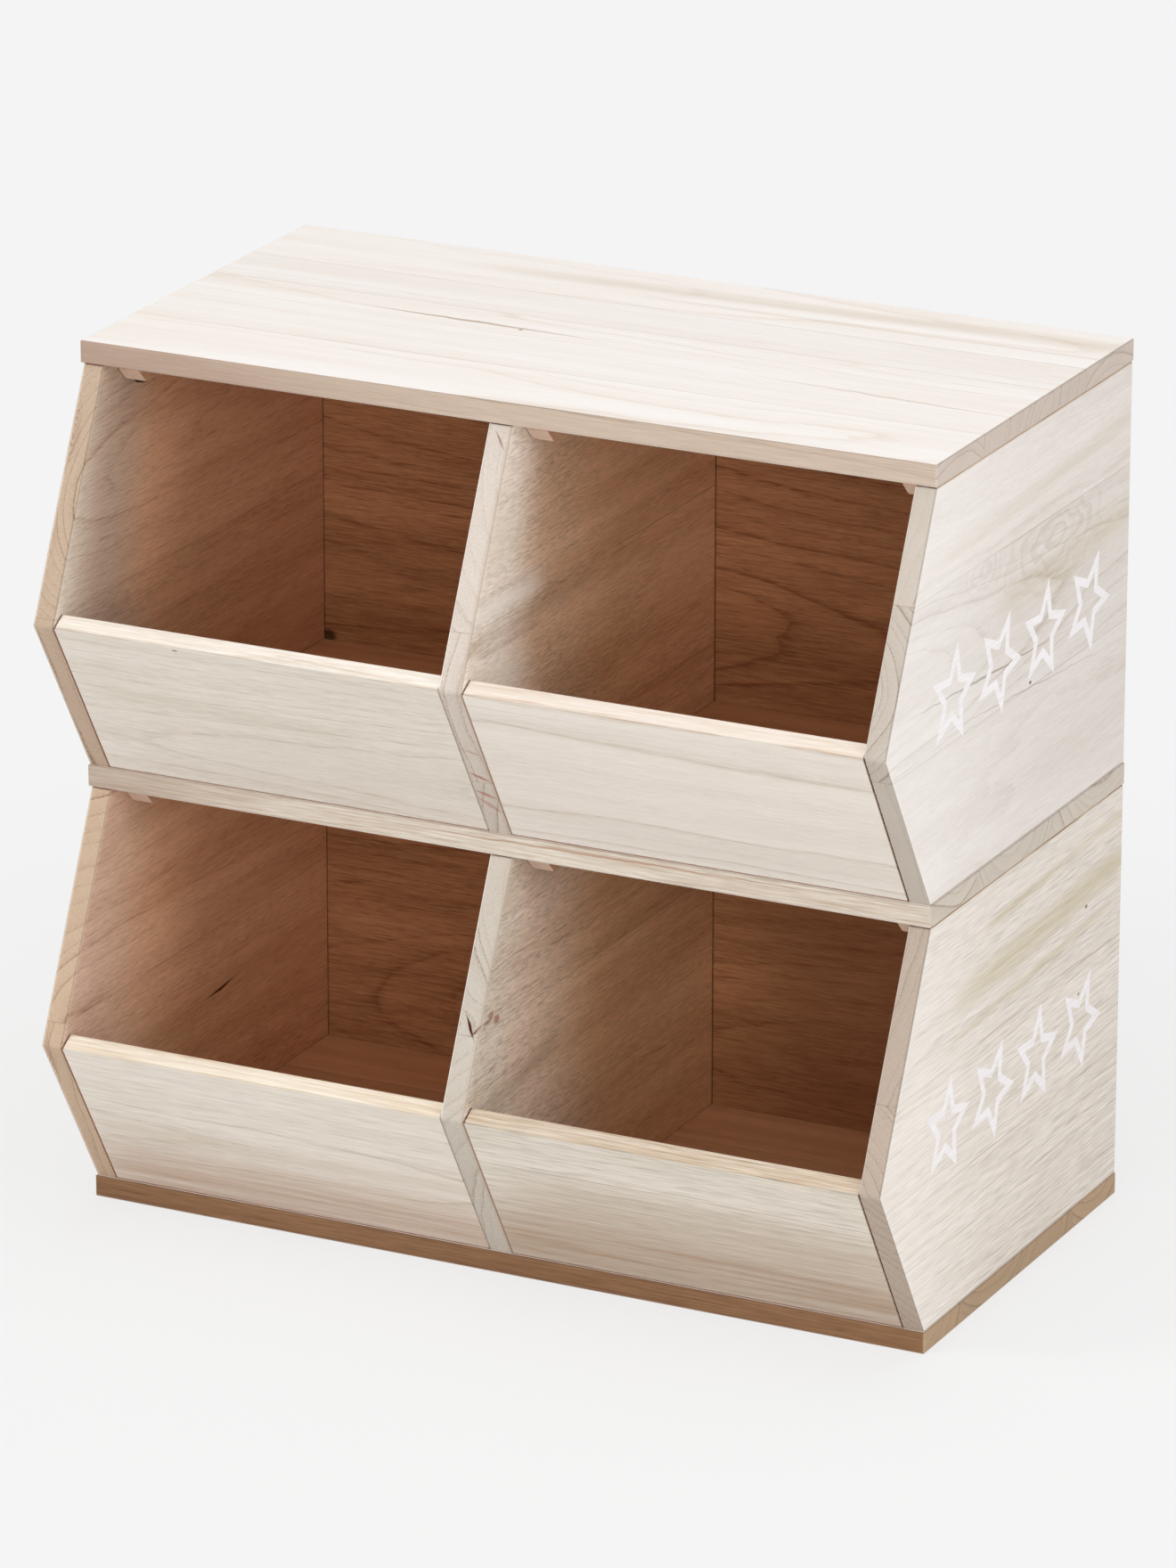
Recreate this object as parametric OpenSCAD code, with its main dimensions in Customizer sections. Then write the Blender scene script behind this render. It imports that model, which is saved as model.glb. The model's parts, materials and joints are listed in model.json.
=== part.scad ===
// Kids shelf: two stacking bins, each with two cells and slanted fronts, under a loose lid.
// X runs left to right, Y front to back, Z up. The origin is on the floor, below the middle.

/* [Overall size] */
// Width of the flat boards, left to right
board_w = 600; // [480:5:900]
// Depth of the flat boards, front edge to back edge
board_d = 306; // [250:2:400]
// Height of the sides and the divider of one bin
side_h = 271.5; // [220:0.5:340]
// How far the nose of a side stands out in front of the boards
nose_reach = 68; // [40:1:100]
// Height of the nose above the board that the side stands on
nose_h = 115.5; // [85:0.5:145]
// Setback of a side's top front corner from the boards' front edge
top_setback = 3; // [0:0.5:20]
// Setback of a side's foot from the boards' front edge
foot_setback = 1.5; // [0.5:0.5:12]
// Setback of the sides from the ends of the boards
end_setback = 1; // [0.5:0.5:6]

/* [Timber] */
// Thickness of the lid and of the two base boards
board_t = 15; // [12:0.5:22]
// Thickness of the outer sides
side_t = 15; // [13:0.5:22]
// Thickness of the divider between the two cells of a bin
divider_t = 16.5; // [15.5:0.5:24]
// Thickness of the slanted front boards
front_t = 13; // [10:0.5:18]
// Thickness of the back boards
back_t = 9; // [6:0.5:12]
// Width of the rebate in each side that takes the back board
rebate_w = 8; // [6:0.5:9]

/* [Sanded edges] */
// Radius of the edges that a hand can reach
arris_r = 1.6; // [0.6:0.1:3]
// Radius of the edges that close up against another board
joint_r = 0.5; // [0.2:0.1:1]
// Radius of the edges of a side that lie flush beside a front board
flush_r = 0.8; // [0.3:0.1:2]
// Radius of the long edges along the top of a side
crown_r = 2.4; // [1:0.1:3.5]
// Radius of the nose of the sides
nose_r = 4; // [1:0.5:10]
// Radius of the top front corner of the sides
top_r = 4; // [1:0.5:8]

/* [Locating blocks] */
// Width of a locating block, left to right
block_w = 15; // [12:0.5:24]
// Length of a locating block, front to back
block_d = 30; // [20:1:60]
// Height of a locating block
block_h = 16; // [12:0.5:24]
// Width of the bevels that lead a block in, at the front and back of its underside
lead = 9; // [3:0.5:11]
// Setback of the front blocks from the boards' front edge
block_setback = 20; // [10:1:60]
// Play between a block and the wall that it registers on
block_play = 1; // [0.5:0.1:4]

/* [Dowels] */
// Diameter of the dowels that hold the front boards
dowel_d = 6; // [5:0.5:7]
// Depth that a dowel goes into a side or the divider
dowel_bite = 7; // [5:0.1:7.2]
// Length of a dowel
dowel_l = 24; // [18:1:40]
// Distance of the lower dowel from the foot of a front board, along its slope
dowel_low = 34; // [25:1:45]
// Distance between the lower and the upper dowel, along the slope
dowel_pitch = 64; // [30:1:75]

/* [Screws and pins] */
// Shank diameter of the screws through the base boards
base_screw_d = 4; // [3:0.5:5]
// Length of the screws through the base boards
base_screw_l = 45; // [30:1:60]
// Distance of the end screws from the front and back edges of a base board
base_screw_inset = 40; // [20:1:70]
// Shank diameter of the screws that hold the locating blocks
block_screw_d = 3.5; // [3:0.5:4.5]
// Head diameter of the screws that hold the locating blocks
block_screw_head_d = 8; // [6.5:0.5:11]
// Depth that a block's screw goes into the board above it
block_screw_bite = 9; // [6:0.5:11]
// Diameter of the pins that hold the back boards
pin_d = 1.8; // [1.4:0.1:2.4]
// Head diameter of the pins
pin_head_d = 4; // [3:0.5:5]
// Depth that a pin goes into a side or the divider
pin_bite = 18; // [10:1:25]
// Distance of the end pins from the bottom and top of a back board
pin_inset = 30; // [15:1:60]

/* [Fits] */
// Gap at each end of a board that is let in between two others
fit_gap = 0.2; // [0.1:0.05:0.5]
// Gap all round a dowel, screw or pin in its hole
hole_gap = 0.05; // [0.02:0.01:0.1]
// Air left past the end of a dowel, screw or pin in its hole
end_gap = 0.4; // [0.2:0.1:1]
// How much lower than the sides a back board stays
back_drop = 0.5; // [0.2:0.1:2]

/* [Hidden] */
$fn = 48;

// Overshoot of a cutting tool past the wood that it cuts
cut = 1;
// Length that reaches past any board of the shelf
far = 2 * (board_w + board_d + side_h + nose_reach);
// Countersunk head of the base screws: diameter over shank, and height of its rim
base_head_over = 2;
base_head_rim = 0.5;
// Height of the pan head of the block screws, and the rounding of its rim
block_head_h = 2.4;
block_head_r = 1;
// How many times thinner the tip of a pin or block screw is than its shank
tip_ratio = 3;
// Height of a pin's head
pin_head_h = 0.8;
// Chamfer on both ends of a dowel
dowel_chamfer = 0.8;

// Faces of the shelf across its depth
nose_y = -(board_d + nose_reach) / 2;
board_front = nose_y + nose_reach;
back_y = board_front + board_d;
back_in = back_y - back_t;

// Faces of a bin across its width
side_out = board_w / 2 - end_setback;
side_in = side_out - side_t;
half_divider = divider_t / 2;
cell_w = side_in - half_divider;

// Levels: each bin is a base board with sides on it, and the lid lies on the upper bin
bin_h = board_t + side_h;
lower_z = 0;
upper_z = lower_z + bin_h;
lid_z = upper_z + bin_h;

// Corners of a side's front edge, as Y and Z over the base board's top
foot = [board_front + foot_setback, 0];
top = [board_front + top_setback, side_h];
// The rounding takes a little off the nose, so its sharp corner lies that much further out
nose_loss = nose_tip(foot, [nose_y, nose_h], top, nose_r) - nose_y;
nose = [nose_y - nose_loss, nose_h];

// Run of a front board's face, up its slope, and the way into the wood from it
slope = (nose - foot) / norm(nose - foot);
into = [slope[1], -slope[0]];

// Unit normal of an edge, pointing into an outline that runs anticlockwise
function inward(p, q) = let (u = (q - p) / norm(q - p)) [-u[1], u[0]];
// Centre of the circle of radius r that rounds corner b between edges ab and bc
function corner_centre(a, b, c, r) =
    let (m = inward(a, b), n = inward(b, c)) b + r * (m + n) / (1 + m * n);
// Y of the foremost point of corner b, once it is rounded
function nose_tip(a, b, c, r) = corner_centre(c, b, a, r)[0] - r;

// Rectangle with four round corners
module soft_rect(l, h, r) {
    translate([r, 0]) square([l - 2 * r, h]);
    translate([0, r]) square([l, h - 2 * r]);
    for (x = [r, l - r], y = [r, h - r]) translate([x, y]) circle(r = r);
}

// Rectangle whose two lower corners are round
module soft_foot(l, h, r) {
    translate([r, 0]) square([l - 2 * r, h]);
    translate([0, r]) square([l, h - r]);
    for (x = [r, l - r]) translate([x, r]) circle(r = r);
}

// Outline with a radius of its own at each corner
module soft_outline(points, radii) {
    n = len(points);
    centres = [for (i = [0:n - 1])
        corner_centre(points[(i + n - 1) % n], points[i], points[(i + 1) % n], radii[i])];
    polygon([for (i = [0:n - 1]) each [
        centres[i] - radii[i] * inward(points[(i + n - 1) % n], points[i]),
        centres[i] - radii[i] * inward(points[i], points[(i + 1) % n])
    ]]);
    for (i = [0:n - 1]) translate(centres[i]) circle(r = radii[i]);
}

// Half-space beyond the edge from p to q, t thick, with both its arrises rounded
module sanded_edge(p, q, t, r) {
    translate([0, p[0], p[1]]) rotate([atan2(q[1] - p[1], q[0] - p[0]), 0, 0])
        translate([0, far, 0]) rotate([90, 0, 0]) linear_extrude(2 * far)
            soft_rect(t, far, r);
}

// Board cut to an outline in the YZ plane and t thick along X, every edge sanded
module sanded_panel(points, corner_radii, edge_radii, t) {
    n = len(points);
    intersection() {
        rotate([90, 0, 90]) linear_extrude(t) soft_outline(points, corner_radii);
        intersection_for (i = [0:n - 1])
            sanded_edge(points[i], points[(i + 1) % n], t, edge_radii[i]);
    }
}

// Flat board l by w by t, with all twelve edges sanded
module sanded_board(l, w, t, r) {
    intersection() {
        translate([-cut, 0, 0]) rotate([90, 0, 90]) linear_extrude(l + 2 * cut)
            soft_rect(w, t, r);
        translate([0, w + cut, 0]) rotate([90, 0, 0]) linear_extrude(w + 2 * cut)
            soft_rect(l, t, r);
        translate([0, 0, -cut]) linear_extrude(t + 2 * cut) soft_rect(l, w, r);
    }
}

// Corners of a side or divider that runs back to the given Y
function side_points(back) = [foot, [back, 0], [back, side_h], top, nose];
// Corners of a front board's section: its foot is bevelled to lie flat, its top is square
function front_points() = [
    foot,
    foot + [front_t / slope[1], 0],
    nose + front_t * into,
    nose
];
// Centres of the dowels in a front board's section
function dowel_points() = [for (s = [dowel_low, dowel_low + dowel_pitch])
    foot + s * slope + front_t / 2 * into];

// X of the three uprights that stand on a base board
upright_x = [-(side_in + side_t / 2), 0, side_in + side_t / 2];
// Y of the screws into each upright
base_screw_y = [for (f = [0, 0.5, 1])
    board_front + base_screw_inset + f * (board_d - 2 * base_screw_inset)];
// X of the pins: in the middle of each rebate, and in the divider
pin_x = [-(side_in + rebate_w / 2), 0, side_in + rebate_w / 2];
// Z of the pins over the base board's top
pin_z = [for (f = [0, 0.5, 1]) pin_inset + f * (side_h - back_drop - 2 * pin_inset)];

// Corners of a block's outline from the side, over its underside, and their radii
block_points = [
    [0, block_h], [0, lead], [lead, 0],
    [block_d - lead, 0], [block_d, lead], [block_d, block_h]
];
block_radii = [joint_r, arris_r, arris_r, arris_r, arris_r, joint_r];
// X of a block's left face: beside the left side, right of the divider, beside the right side
block_x = [-side_in + block_play, half_divider + block_play, side_in - block_play - block_w];
// Y of a block's front face: near the front edge, and against the back board
block_y = [board_front + block_setback, back_in - block_play - block_d];
block_screw_l = block_h + block_screw_bite;

// Puts its children in all nine places of a base screw, head down on the board's underside
module at_base_screws() {
    for (x = upright_x, y = base_screw_y) translate([x, y, 0]) children();
}

// Puts its children in all nine places of a pin, head at the back board's rear face
module at_pins() {
    for (x = pin_x, z = pin_z) translate([x, back_y, board_t + z]) rotate([90, 0, 0]) children();
}

// Puts its children at the dowels of one joint face; side is 1 for a dowel bite towards +X
module at_dowels(x, side) {
    for (p = dowel_points()) translate([x, p[0], board_t + p[1]]) rotate([0, 90 * side, 0])
        children();
}

// Puts its children at the foot of all six block screws under a board
module at_block_screws() {
    for (x = block_x, y = block_y)
        translate([x + block_w / 2, y + block_d / 2, -block_h]) children();
}

// Countersunk screw, pointing up from its head; grow is the gap that its hole leaves
module base_screw(grow = 0, past = 0) {
    r = base_screw_d / 2 + grow;
    head_r = base_screw_d / 2 + base_head_over + grow;
    l = base_screw_l + past;
    rotate_extrude() polygon([
        [0, -past], [head_r, -past], [head_r, base_head_rim],
        [r, base_head_rim + head_r - r], [r, l - r], [0, l]
    ]);
}

// Pin with a flat head, pointing up from its head; grow is the gap that its hole leaves
module pin(grow = 0, past = 0) {
    l = back_t + pin_bite + past;
    translate([0, 0, -past]) cylinder(d = pin_head_d + 2 * grow, h = pin_head_h + past + grow);
    cylinder(d = pin_d + 2 * grow, h = l - pin_d);
    translate([0, 0, l - pin_d]) cylinder(d1 = pin_d + 2 * grow, d2 = pin_d / tip_ratio, h = pin_d);
}

// Screw with a pan head that stands below the block that it holds
module block_screw() {
    translate([0, 0, -block_head_h]) rotate_extrude() intersection() {
        translate([-block_screw_head_d / 2, 0])
            soft_foot(block_screw_head_d, block_head_h, block_head_r);
        square([block_screw_head_d / 2, block_head_h]);
    }
    cylinder(d = block_screw_d, h = block_screw_l - block_screw_d);
    translate([0, 0, block_screw_l - block_screw_d])
        cylinder(d1 = block_screw_d, d2 = block_screw_d / tip_ratio, h = block_screw_d);
}

// Hole for a block's screw, through the block and into the board above
module block_screw_hole() {
    translate([0, 0, -cut])
        cylinder(d = block_screw_d + 2 * hole_gap, h = block_screw_l + end_gap + cut);
}

// Dowel with chamfered ends, pointing up from the joint face into a side
module dowel() {
    translate([0, 0, dowel_bite - dowel_l]) rotate_extrude() polygon([
        [0, 0], [dowel_d / 2 - dowel_chamfer, 0], [dowel_d / 2, dowel_chamfer],
        [dowel_d / 2, dowel_l - dowel_chamfer],
        [dowel_d / 2 - dowel_chamfer, dowel_l], [0, dowel_l]
    ]);
}

// Both halves of a dowel's hole, one on each side of the joint face
module dowel_hole() {
    translate([0, 0, dowel_bite - dowel_l - end_gap])
        cylinder(d = dowel_d + 2 * hole_gap, h = dowel_l + 2 * end_gap);
}

// Flat board of a bin or the lid, its underside at Z 0
module flat_board() {
    translate([-board_w / 2, board_front, 0]) sanded_board(board_w, board_d, board_t, arris_r);
}

// Base board of a bin, drilled for the screws up into the uprights
module base_board(with_blocks) {
    color("#d2bda2") difference() {
        flat_board();
        at_base_screws() base_screw(hole_gap, cut);
        if (with_blocks) at_block_screws() block_screw_hole();
    }
}

// Left side of a bin, rebated for the back board and bored for the front board's dowels
module left_side() {
    color("#d9cbb8") difference() {
        translate([-side_out, 0, board_t]) sanded_panel(
            side_points(back_y),
            [joint_r, joint_r, arris_r, top_r, nose_r],
            [joint_r, joint_r, crown_r, arris_r, flush_r],
            side_t
        );
        translate([-side_in - rebate_w, back_in, board_t - cut])
            cube([rebate_w + cut, back_t + cut, side_h + 2 * cut]);
        at_dowels(-side_in, -1) dowel_hole();
        at_base_screws() base_screw(hole_gap, end_gap);
        at_pins() pin(hole_gap, end_gap);
    }
}

// Right side of a bin, the left one's mirror image
module right_side() {
    mirror([1, 0, 0]) left_side();
}

// Divider of a bin, which ends at the back board and is bored for dowels from both faces
module divider() {
    color("#d6c8b4") difference() {
        translate([-half_divider, 0, board_t]) sanded_panel(
            side_points(back_in),
            [joint_r, joint_r, joint_r, top_r, nose_r],
            [joint_r, joint_r, crown_r, arris_r, flush_r],
            divider_t
        );
        at_dowels(-half_divider, 1) dowel_hole();
        at_dowels(half_divider, -1) dowel_hole();
        at_base_screws() base_screw(hole_gap, end_gap);
        at_pins() pin(hole_gap, end_gap);
    }
}

// Slanted front board of the left cell
module left_front() {
    color("#e3dacb") difference() {
        translate([-side_in + fit_gap, 0, board_t]) sanded_panel(
            front_points(),
            [joint_r, joint_r, arris_r, arris_r],
            [joint_r, joint_r, joint_r, joint_r],
            cell_w - 2 * fit_gap
        );
        at_dowels(-side_in, -1) dowel_hole();
        at_dowels(-half_divider, 1) dowel_hole();
    }
}

// Slanted front board of the right cell, the left one's mirror image
module right_front() {
    mirror([1, 0, 0]) left_front();
}

// Back board of a bin, let into the rebates of both sides
module back_board() {
    back_w = 2 * (side_in + rebate_w - fit_gap);
    color("#cbb397") difference() {
        translate([-back_w / 2, back_in, board_t])
            sanded_board(back_w, back_t, side_h - back_drop, joint_r);
        at_pins() pin(hole_gap, end_gap);
    }
}

// Screws of a bin, three up into each upright
module base_screws() {
    color("#8d8f92") at_base_screws() base_screw();
}

// Dowels of a bin, two at each end of each front board
module front_dowels() {
    color("#c9a878") {
        at_dowels(-side_in, -1) dowel();
        at_dowels(-half_divider, 1) dowel();
        at_dowels(half_divider, -1) dowel();
        at_dowels(side_in, 1) dowel();
    }
}

// Pins of a bin, three down each side and the divider
module back_pins() {
    color("#a7a9ac") at_pins() pin();
}

// Locating block under a board; i counts the blocks left to right, j front to back
module locating_block(i, j) {
    color("#b08d69") difference() {
        translate([block_x[i], block_y[j], -block_h]) intersection() {
            rotate([90, 0, 90]) linear_extrude(block_w) soft_outline(block_points, block_radii);
            translate([0, block_d + cut, 0]) rotate([90, 0, 0])
                linear_extrude(block_d + 2 * cut) soft_foot(block_w, block_h, arris_r);
        }
        at_block_screws() block_screw_hole();
    }
}

// Screws of the six locating blocks under a board
module block_screws() {
    color("#3a3029") at_block_screws() block_screw();
}

// Lid of the shelf, drilled for the screws of its blocks
module lid_board() {
    color("#f2e9dd") difference() {
        flat_board();
        at_block_screws() block_screw_hole();
    }
}

translate([0, 0, lower_z]) base_board(false);  // lower_base_board
translate([0, 0, lower_z]) left_side();  // lower_left_side
translate([0, 0, lower_z]) right_side();  // lower_right_side
translate([0, 0, lower_z]) divider();  // lower_divider
translate([0, 0, lower_z]) left_front();  // lower_left_front
translate([0, 0, lower_z]) right_front();  // lower_right_front
translate([0, 0, lower_z]) back_board();  // lower_back_board
translate([0, 0, lower_z]) base_screws();  // lower_base_screws
translate([0, 0, lower_z]) front_dowels();  // lower_front_dowels
translate([0, 0, lower_z]) back_pins();  // lower_back_pins
translate([0, 0, upper_z]) base_board(true);  // upper_base_board
translate([0, 0, upper_z]) left_side();  // upper_left_side
translate([0, 0, upper_z]) right_side();  // upper_right_side
translate([0, 0, upper_z]) divider();  // upper_divider
translate([0, 0, upper_z]) left_front();  // upper_left_front
translate([0, 0, upper_z]) right_front();  // upper_right_front
translate([0, 0, upper_z]) back_board();  // upper_back_board
translate([0, 0, upper_z]) base_screws();  // upper_base_screws
translate([0, 0, upper_z]) front_dowels();  // upper_front_dowels
translate([0, 0, upper_z]) back_pins();  // upper_back_pins
translate([0, 0, upper_z]) locating_block(0, 0);  // upper_block_front_left
translate([0, 0, upper_z]) locating_block(1, 0);  // upper_block_front_middle
translate([0, 0, upper_z]) locating_block(2, 0);  // upper_block_front_right
translate([0, 0, upper_z]) locating_block(0, 1);  // upper_block_back_left
translate([0, 0, upper_z]) locating_block(1, 1);  // upper_block_back_middle
translate([0, 0, upper_z]) locating_block(2, 1);  // upper_block_back_right
translate([0, 0, upper_z]) block_screws();  // upper_block_screws
translate([0, 0, lid_z]) lid_board();
translate([0, 0, lid_z]) locating_block(0, 0);  // lid_block_front_left
translate([0, 0, lid_z]) locating_block(1, 0);  // lid_block_front_middle
translate([0, 0, lid_z]) locating_block(2, 0);  // lid_block_front_right
translate([0, 0, lid_z]) locating_block(0, 1);  // lid_block_back_left
translate([0, 0, lid_z]) locating_block(1, 1);  // lid_block_back_middle
translate([0, 0, lid_z]) locating_block(2, 1);  // lid_block_back_right
translate([0, 0, lid_z]) block_screws();  // lid_block_screws
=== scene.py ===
"""Dresses the kids shelf: bleached paulownia boards, screws, a white print and a plain studio."""

import json
import math

import bmesh
import bpy
from bpy.props import FloatProperty, FloatVectorProperty, IntProperty, PointerProperty
from mathutils import Matrix, Vector

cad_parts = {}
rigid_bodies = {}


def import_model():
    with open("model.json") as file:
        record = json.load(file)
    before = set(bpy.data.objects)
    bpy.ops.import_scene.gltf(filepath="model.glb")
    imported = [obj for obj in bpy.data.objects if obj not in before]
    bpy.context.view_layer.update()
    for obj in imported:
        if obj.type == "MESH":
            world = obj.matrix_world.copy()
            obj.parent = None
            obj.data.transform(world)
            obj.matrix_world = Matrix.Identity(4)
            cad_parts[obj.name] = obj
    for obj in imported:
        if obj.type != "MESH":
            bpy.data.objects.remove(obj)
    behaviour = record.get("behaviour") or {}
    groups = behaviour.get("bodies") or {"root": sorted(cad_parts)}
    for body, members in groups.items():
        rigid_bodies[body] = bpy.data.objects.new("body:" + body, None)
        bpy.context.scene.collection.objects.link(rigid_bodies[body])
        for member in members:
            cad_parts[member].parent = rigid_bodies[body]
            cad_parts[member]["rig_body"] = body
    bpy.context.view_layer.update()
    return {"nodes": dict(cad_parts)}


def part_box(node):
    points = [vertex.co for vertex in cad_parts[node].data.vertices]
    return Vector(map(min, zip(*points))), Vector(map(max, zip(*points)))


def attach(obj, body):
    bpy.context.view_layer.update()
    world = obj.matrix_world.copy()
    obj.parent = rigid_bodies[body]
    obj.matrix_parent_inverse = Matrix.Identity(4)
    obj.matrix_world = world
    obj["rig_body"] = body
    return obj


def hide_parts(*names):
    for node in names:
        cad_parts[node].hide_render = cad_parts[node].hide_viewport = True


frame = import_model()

bl_info = {
    "name": "Kids Shelf Looks",
    "version": (1, 0, 0),
    "blender": (4, 5, 0),
    "location": "3D View > Sidebar > Kids Shelf",
    "description": "Wood, screws, print and studio for a shelf of two stacking bins and a lid",
    "category": "Object",
}

MM = 0.001
LEVELS = ("lower", "upper")
X, Y, Z = Vector((1, 0, 0)), Vector((0, 1, 0)), Vector((0, 0, 1))


def linear(code):
    """A colour written as an sRGB hex value, as the linear RGBA that the shaders take."""
    parts = [int(code[i:i + 2], 16) / 255 for i in (1, 3, 5)]
    return (*(c / 12.92 if c <= 0.04045 else ((c + 0.055) / 1.055) ** 2.4 for c in parts), 1.0)


# The setting that is written after a node's kind, where it isn't the operation
MODES = {"MapRange": "interpolation_type", "Mix": "data_type", "TexNoise": "noise_dimensions",
         "TexWhiteNoise": "noise_dimensions"}


def add(tree, kind, inputs=(), **settings):
    """Adds a node, sets its settings, and fills its inputs with values, nodes or sockets.

    Shader nodes are named without their prefix, and a kind may carry its operation, or its
    setting in MODES, after a space. Inputs come in the node's order or by name, and a node that
    is given as an input stands for its first output in use.
    """
    kind, _, mode = kind.partition(" ")
    node = tree.nodes.new(kind if "Node" in kind else "ShaderNode" + kind)
    if mode:
        setattr(node, MODES.get(kind, "operation"), mode)
    for name, value in settings.items():
        setattr(node, name, value)
    for key, value in inputs.items() if isinstance(inputs, dict) else enumerate(inputs):
        if isinstance(value, bpy.types.Node):
            value = next(output for output in value.outputs if output.enabled)
        if isinstance(value, bpy.types.NodeSocket):
            tree.links.new(value, node.inputs[key])
        else:
            node.inputs[key].default_value = value
    return node


def new_material(name):
    """A material, its empty node tree, and the coordinates that its patterns start from."""
    material = bpy.data.materials.new(name)
    material.use_nodes = True
    tree = material.node_tree
    tree.nodes.clear()
    return material, tree, add(tree, "TexCoord").outputs


def socket_list(tree, in_out, names):
    """Gives a node group its named sockets; a name that starts with a star is a vector."""
    for name in names:
        kind = "NodeSocketVector" if name.startswith("*") else "NodeSocketFloat"
        tree.interface.new_socket(name.lstrip("*"), in_out=in_out, socket_type=kind)


# Sizes of the shelf, read from the frame

def profile_of(node):
    """Foot, nose and top of an upright's front edge, as Y and Z in millimetres."""
    points = [v.co / MM for v in frame["nodes"][node].data.vertices]
    foot_band, top_band = 2, 4
    low, high = min(p.z for p in points), max(p.z for p in points)
    nose = min(points, key=lambda p: p.y)
    foot_y = min(p.y for p in points if p.z < low + foot_band)
    top_y = min(p.y for p in points if p.z > high - top_band)
    return Vector((foot_y, low)), Vector((nose.y, nose.z)), Vector((top_y, high))


FOOT, NOSE, TOP = profile_of("lower_divider")
BOARD_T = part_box("lower_base_board")[1].z / MM
BIN_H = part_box("upper_base_board")[0].z / MM
SIDE_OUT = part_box("lower_right_side")[1].x / MM
SIDE_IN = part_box("lower_right_side")[0].x / MM
HALF_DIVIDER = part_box("lower_divider")[1].x / MM
UPRIGHT = BIN_H - BOARD_T
BACK_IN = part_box("lower_back_board")[0].y / MM
LID_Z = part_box("lid_board")[0].z / MM


# Wood

# Shares that rings, streaks, fibre and pores take in the colour, and of the pores deep in a cell.
# The arris share is how pale the arrises on one side of a board's thickness turn (the left of
# an upright, facing the key lamp): partly sanded through, partly a painted highlight. calm is
# how much the rings fade deep in a cell, and short how short fibres and pores are: 1 for the
# lengths in stave_group, less for longer ones.
CALM = {"rings": 0.58, "streaks": 0.22, "fibre": 0.20, "pores": 0.12, "wear_and_highlight": 0.4, "calm": 0.5,
        "short": 0.6}
LIVELY = {"rings": 0.60, "streaks": 0.24, "fibre": 0.36, "pores": 0.24, "wear_and_highlight": 0.4, "calm": 0.5,
          "short": 0.8}
SAWN = {"rings": 0.60, "streaks": 0.24, "fibre": 0.38, "pores": 0.42, "wear_and_highlight": 0.8, "calm": 0.4,
        "short": 1.0, "deep_pores": 0.22}

# Pale and dark tone of each kind of surface of a board
TONES = {
    "face": ("#EDE5DC", "#CDBEA8"),
    "edge": ("#D9C3A8", "#A98769"),
    "end": ("#CDBBA2", "#9E8567"),
    # The mouth and inside tones are partly the timber's tan and partly painted shade in the cells
    "mouth": ("#C5AB96", "#A1806B"),
    "inside": ("#EBBD94", "#BF895F"),
}
# Pale arris tone: partly sanded-through wood, partly a painted highlight
ARRIS_WEAR_AND_HIGHLIGHT = "#F2E8DE"
GLUE_LINE = "#8E7356"
GLUE_W = 0.5


def grain(tree, at, lengths, detail, roughness=0.5):
    """Noise whose grains have these lengths along, across and through the board."""
    scaled = add(tree, "VectorMath MULTIPLY", (at, tuple(1 / length for length in lengths)))
    return add(tree, "TexNoise", {"Vector": scaled, "Scale": 1.0, "Detail": detail,
                                  "Roughness": roughness})


def distance(tree, value, other):
    """How far two values lie apart."""
    off = add(tree, "Math SUBTRACT", (value, other))
    return add(tree, "Math ABSOLUTE", (off,))


def from_spot(tree, point, along, across, long_r, across_r):
    """How far a point lies from a spot on the board's face, in the spot's own two radii."""
    moved = add(tree, "VectorMath SUBTRACT", (point, (along, across, 0.0)))
    sized = add(tree, "VectorMath MULTIPLY", (moved, (1 / long_r, 1 / across_r, 0.0)))
    return add(tree, "VectorMath LENGTH", (sized,))


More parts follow.
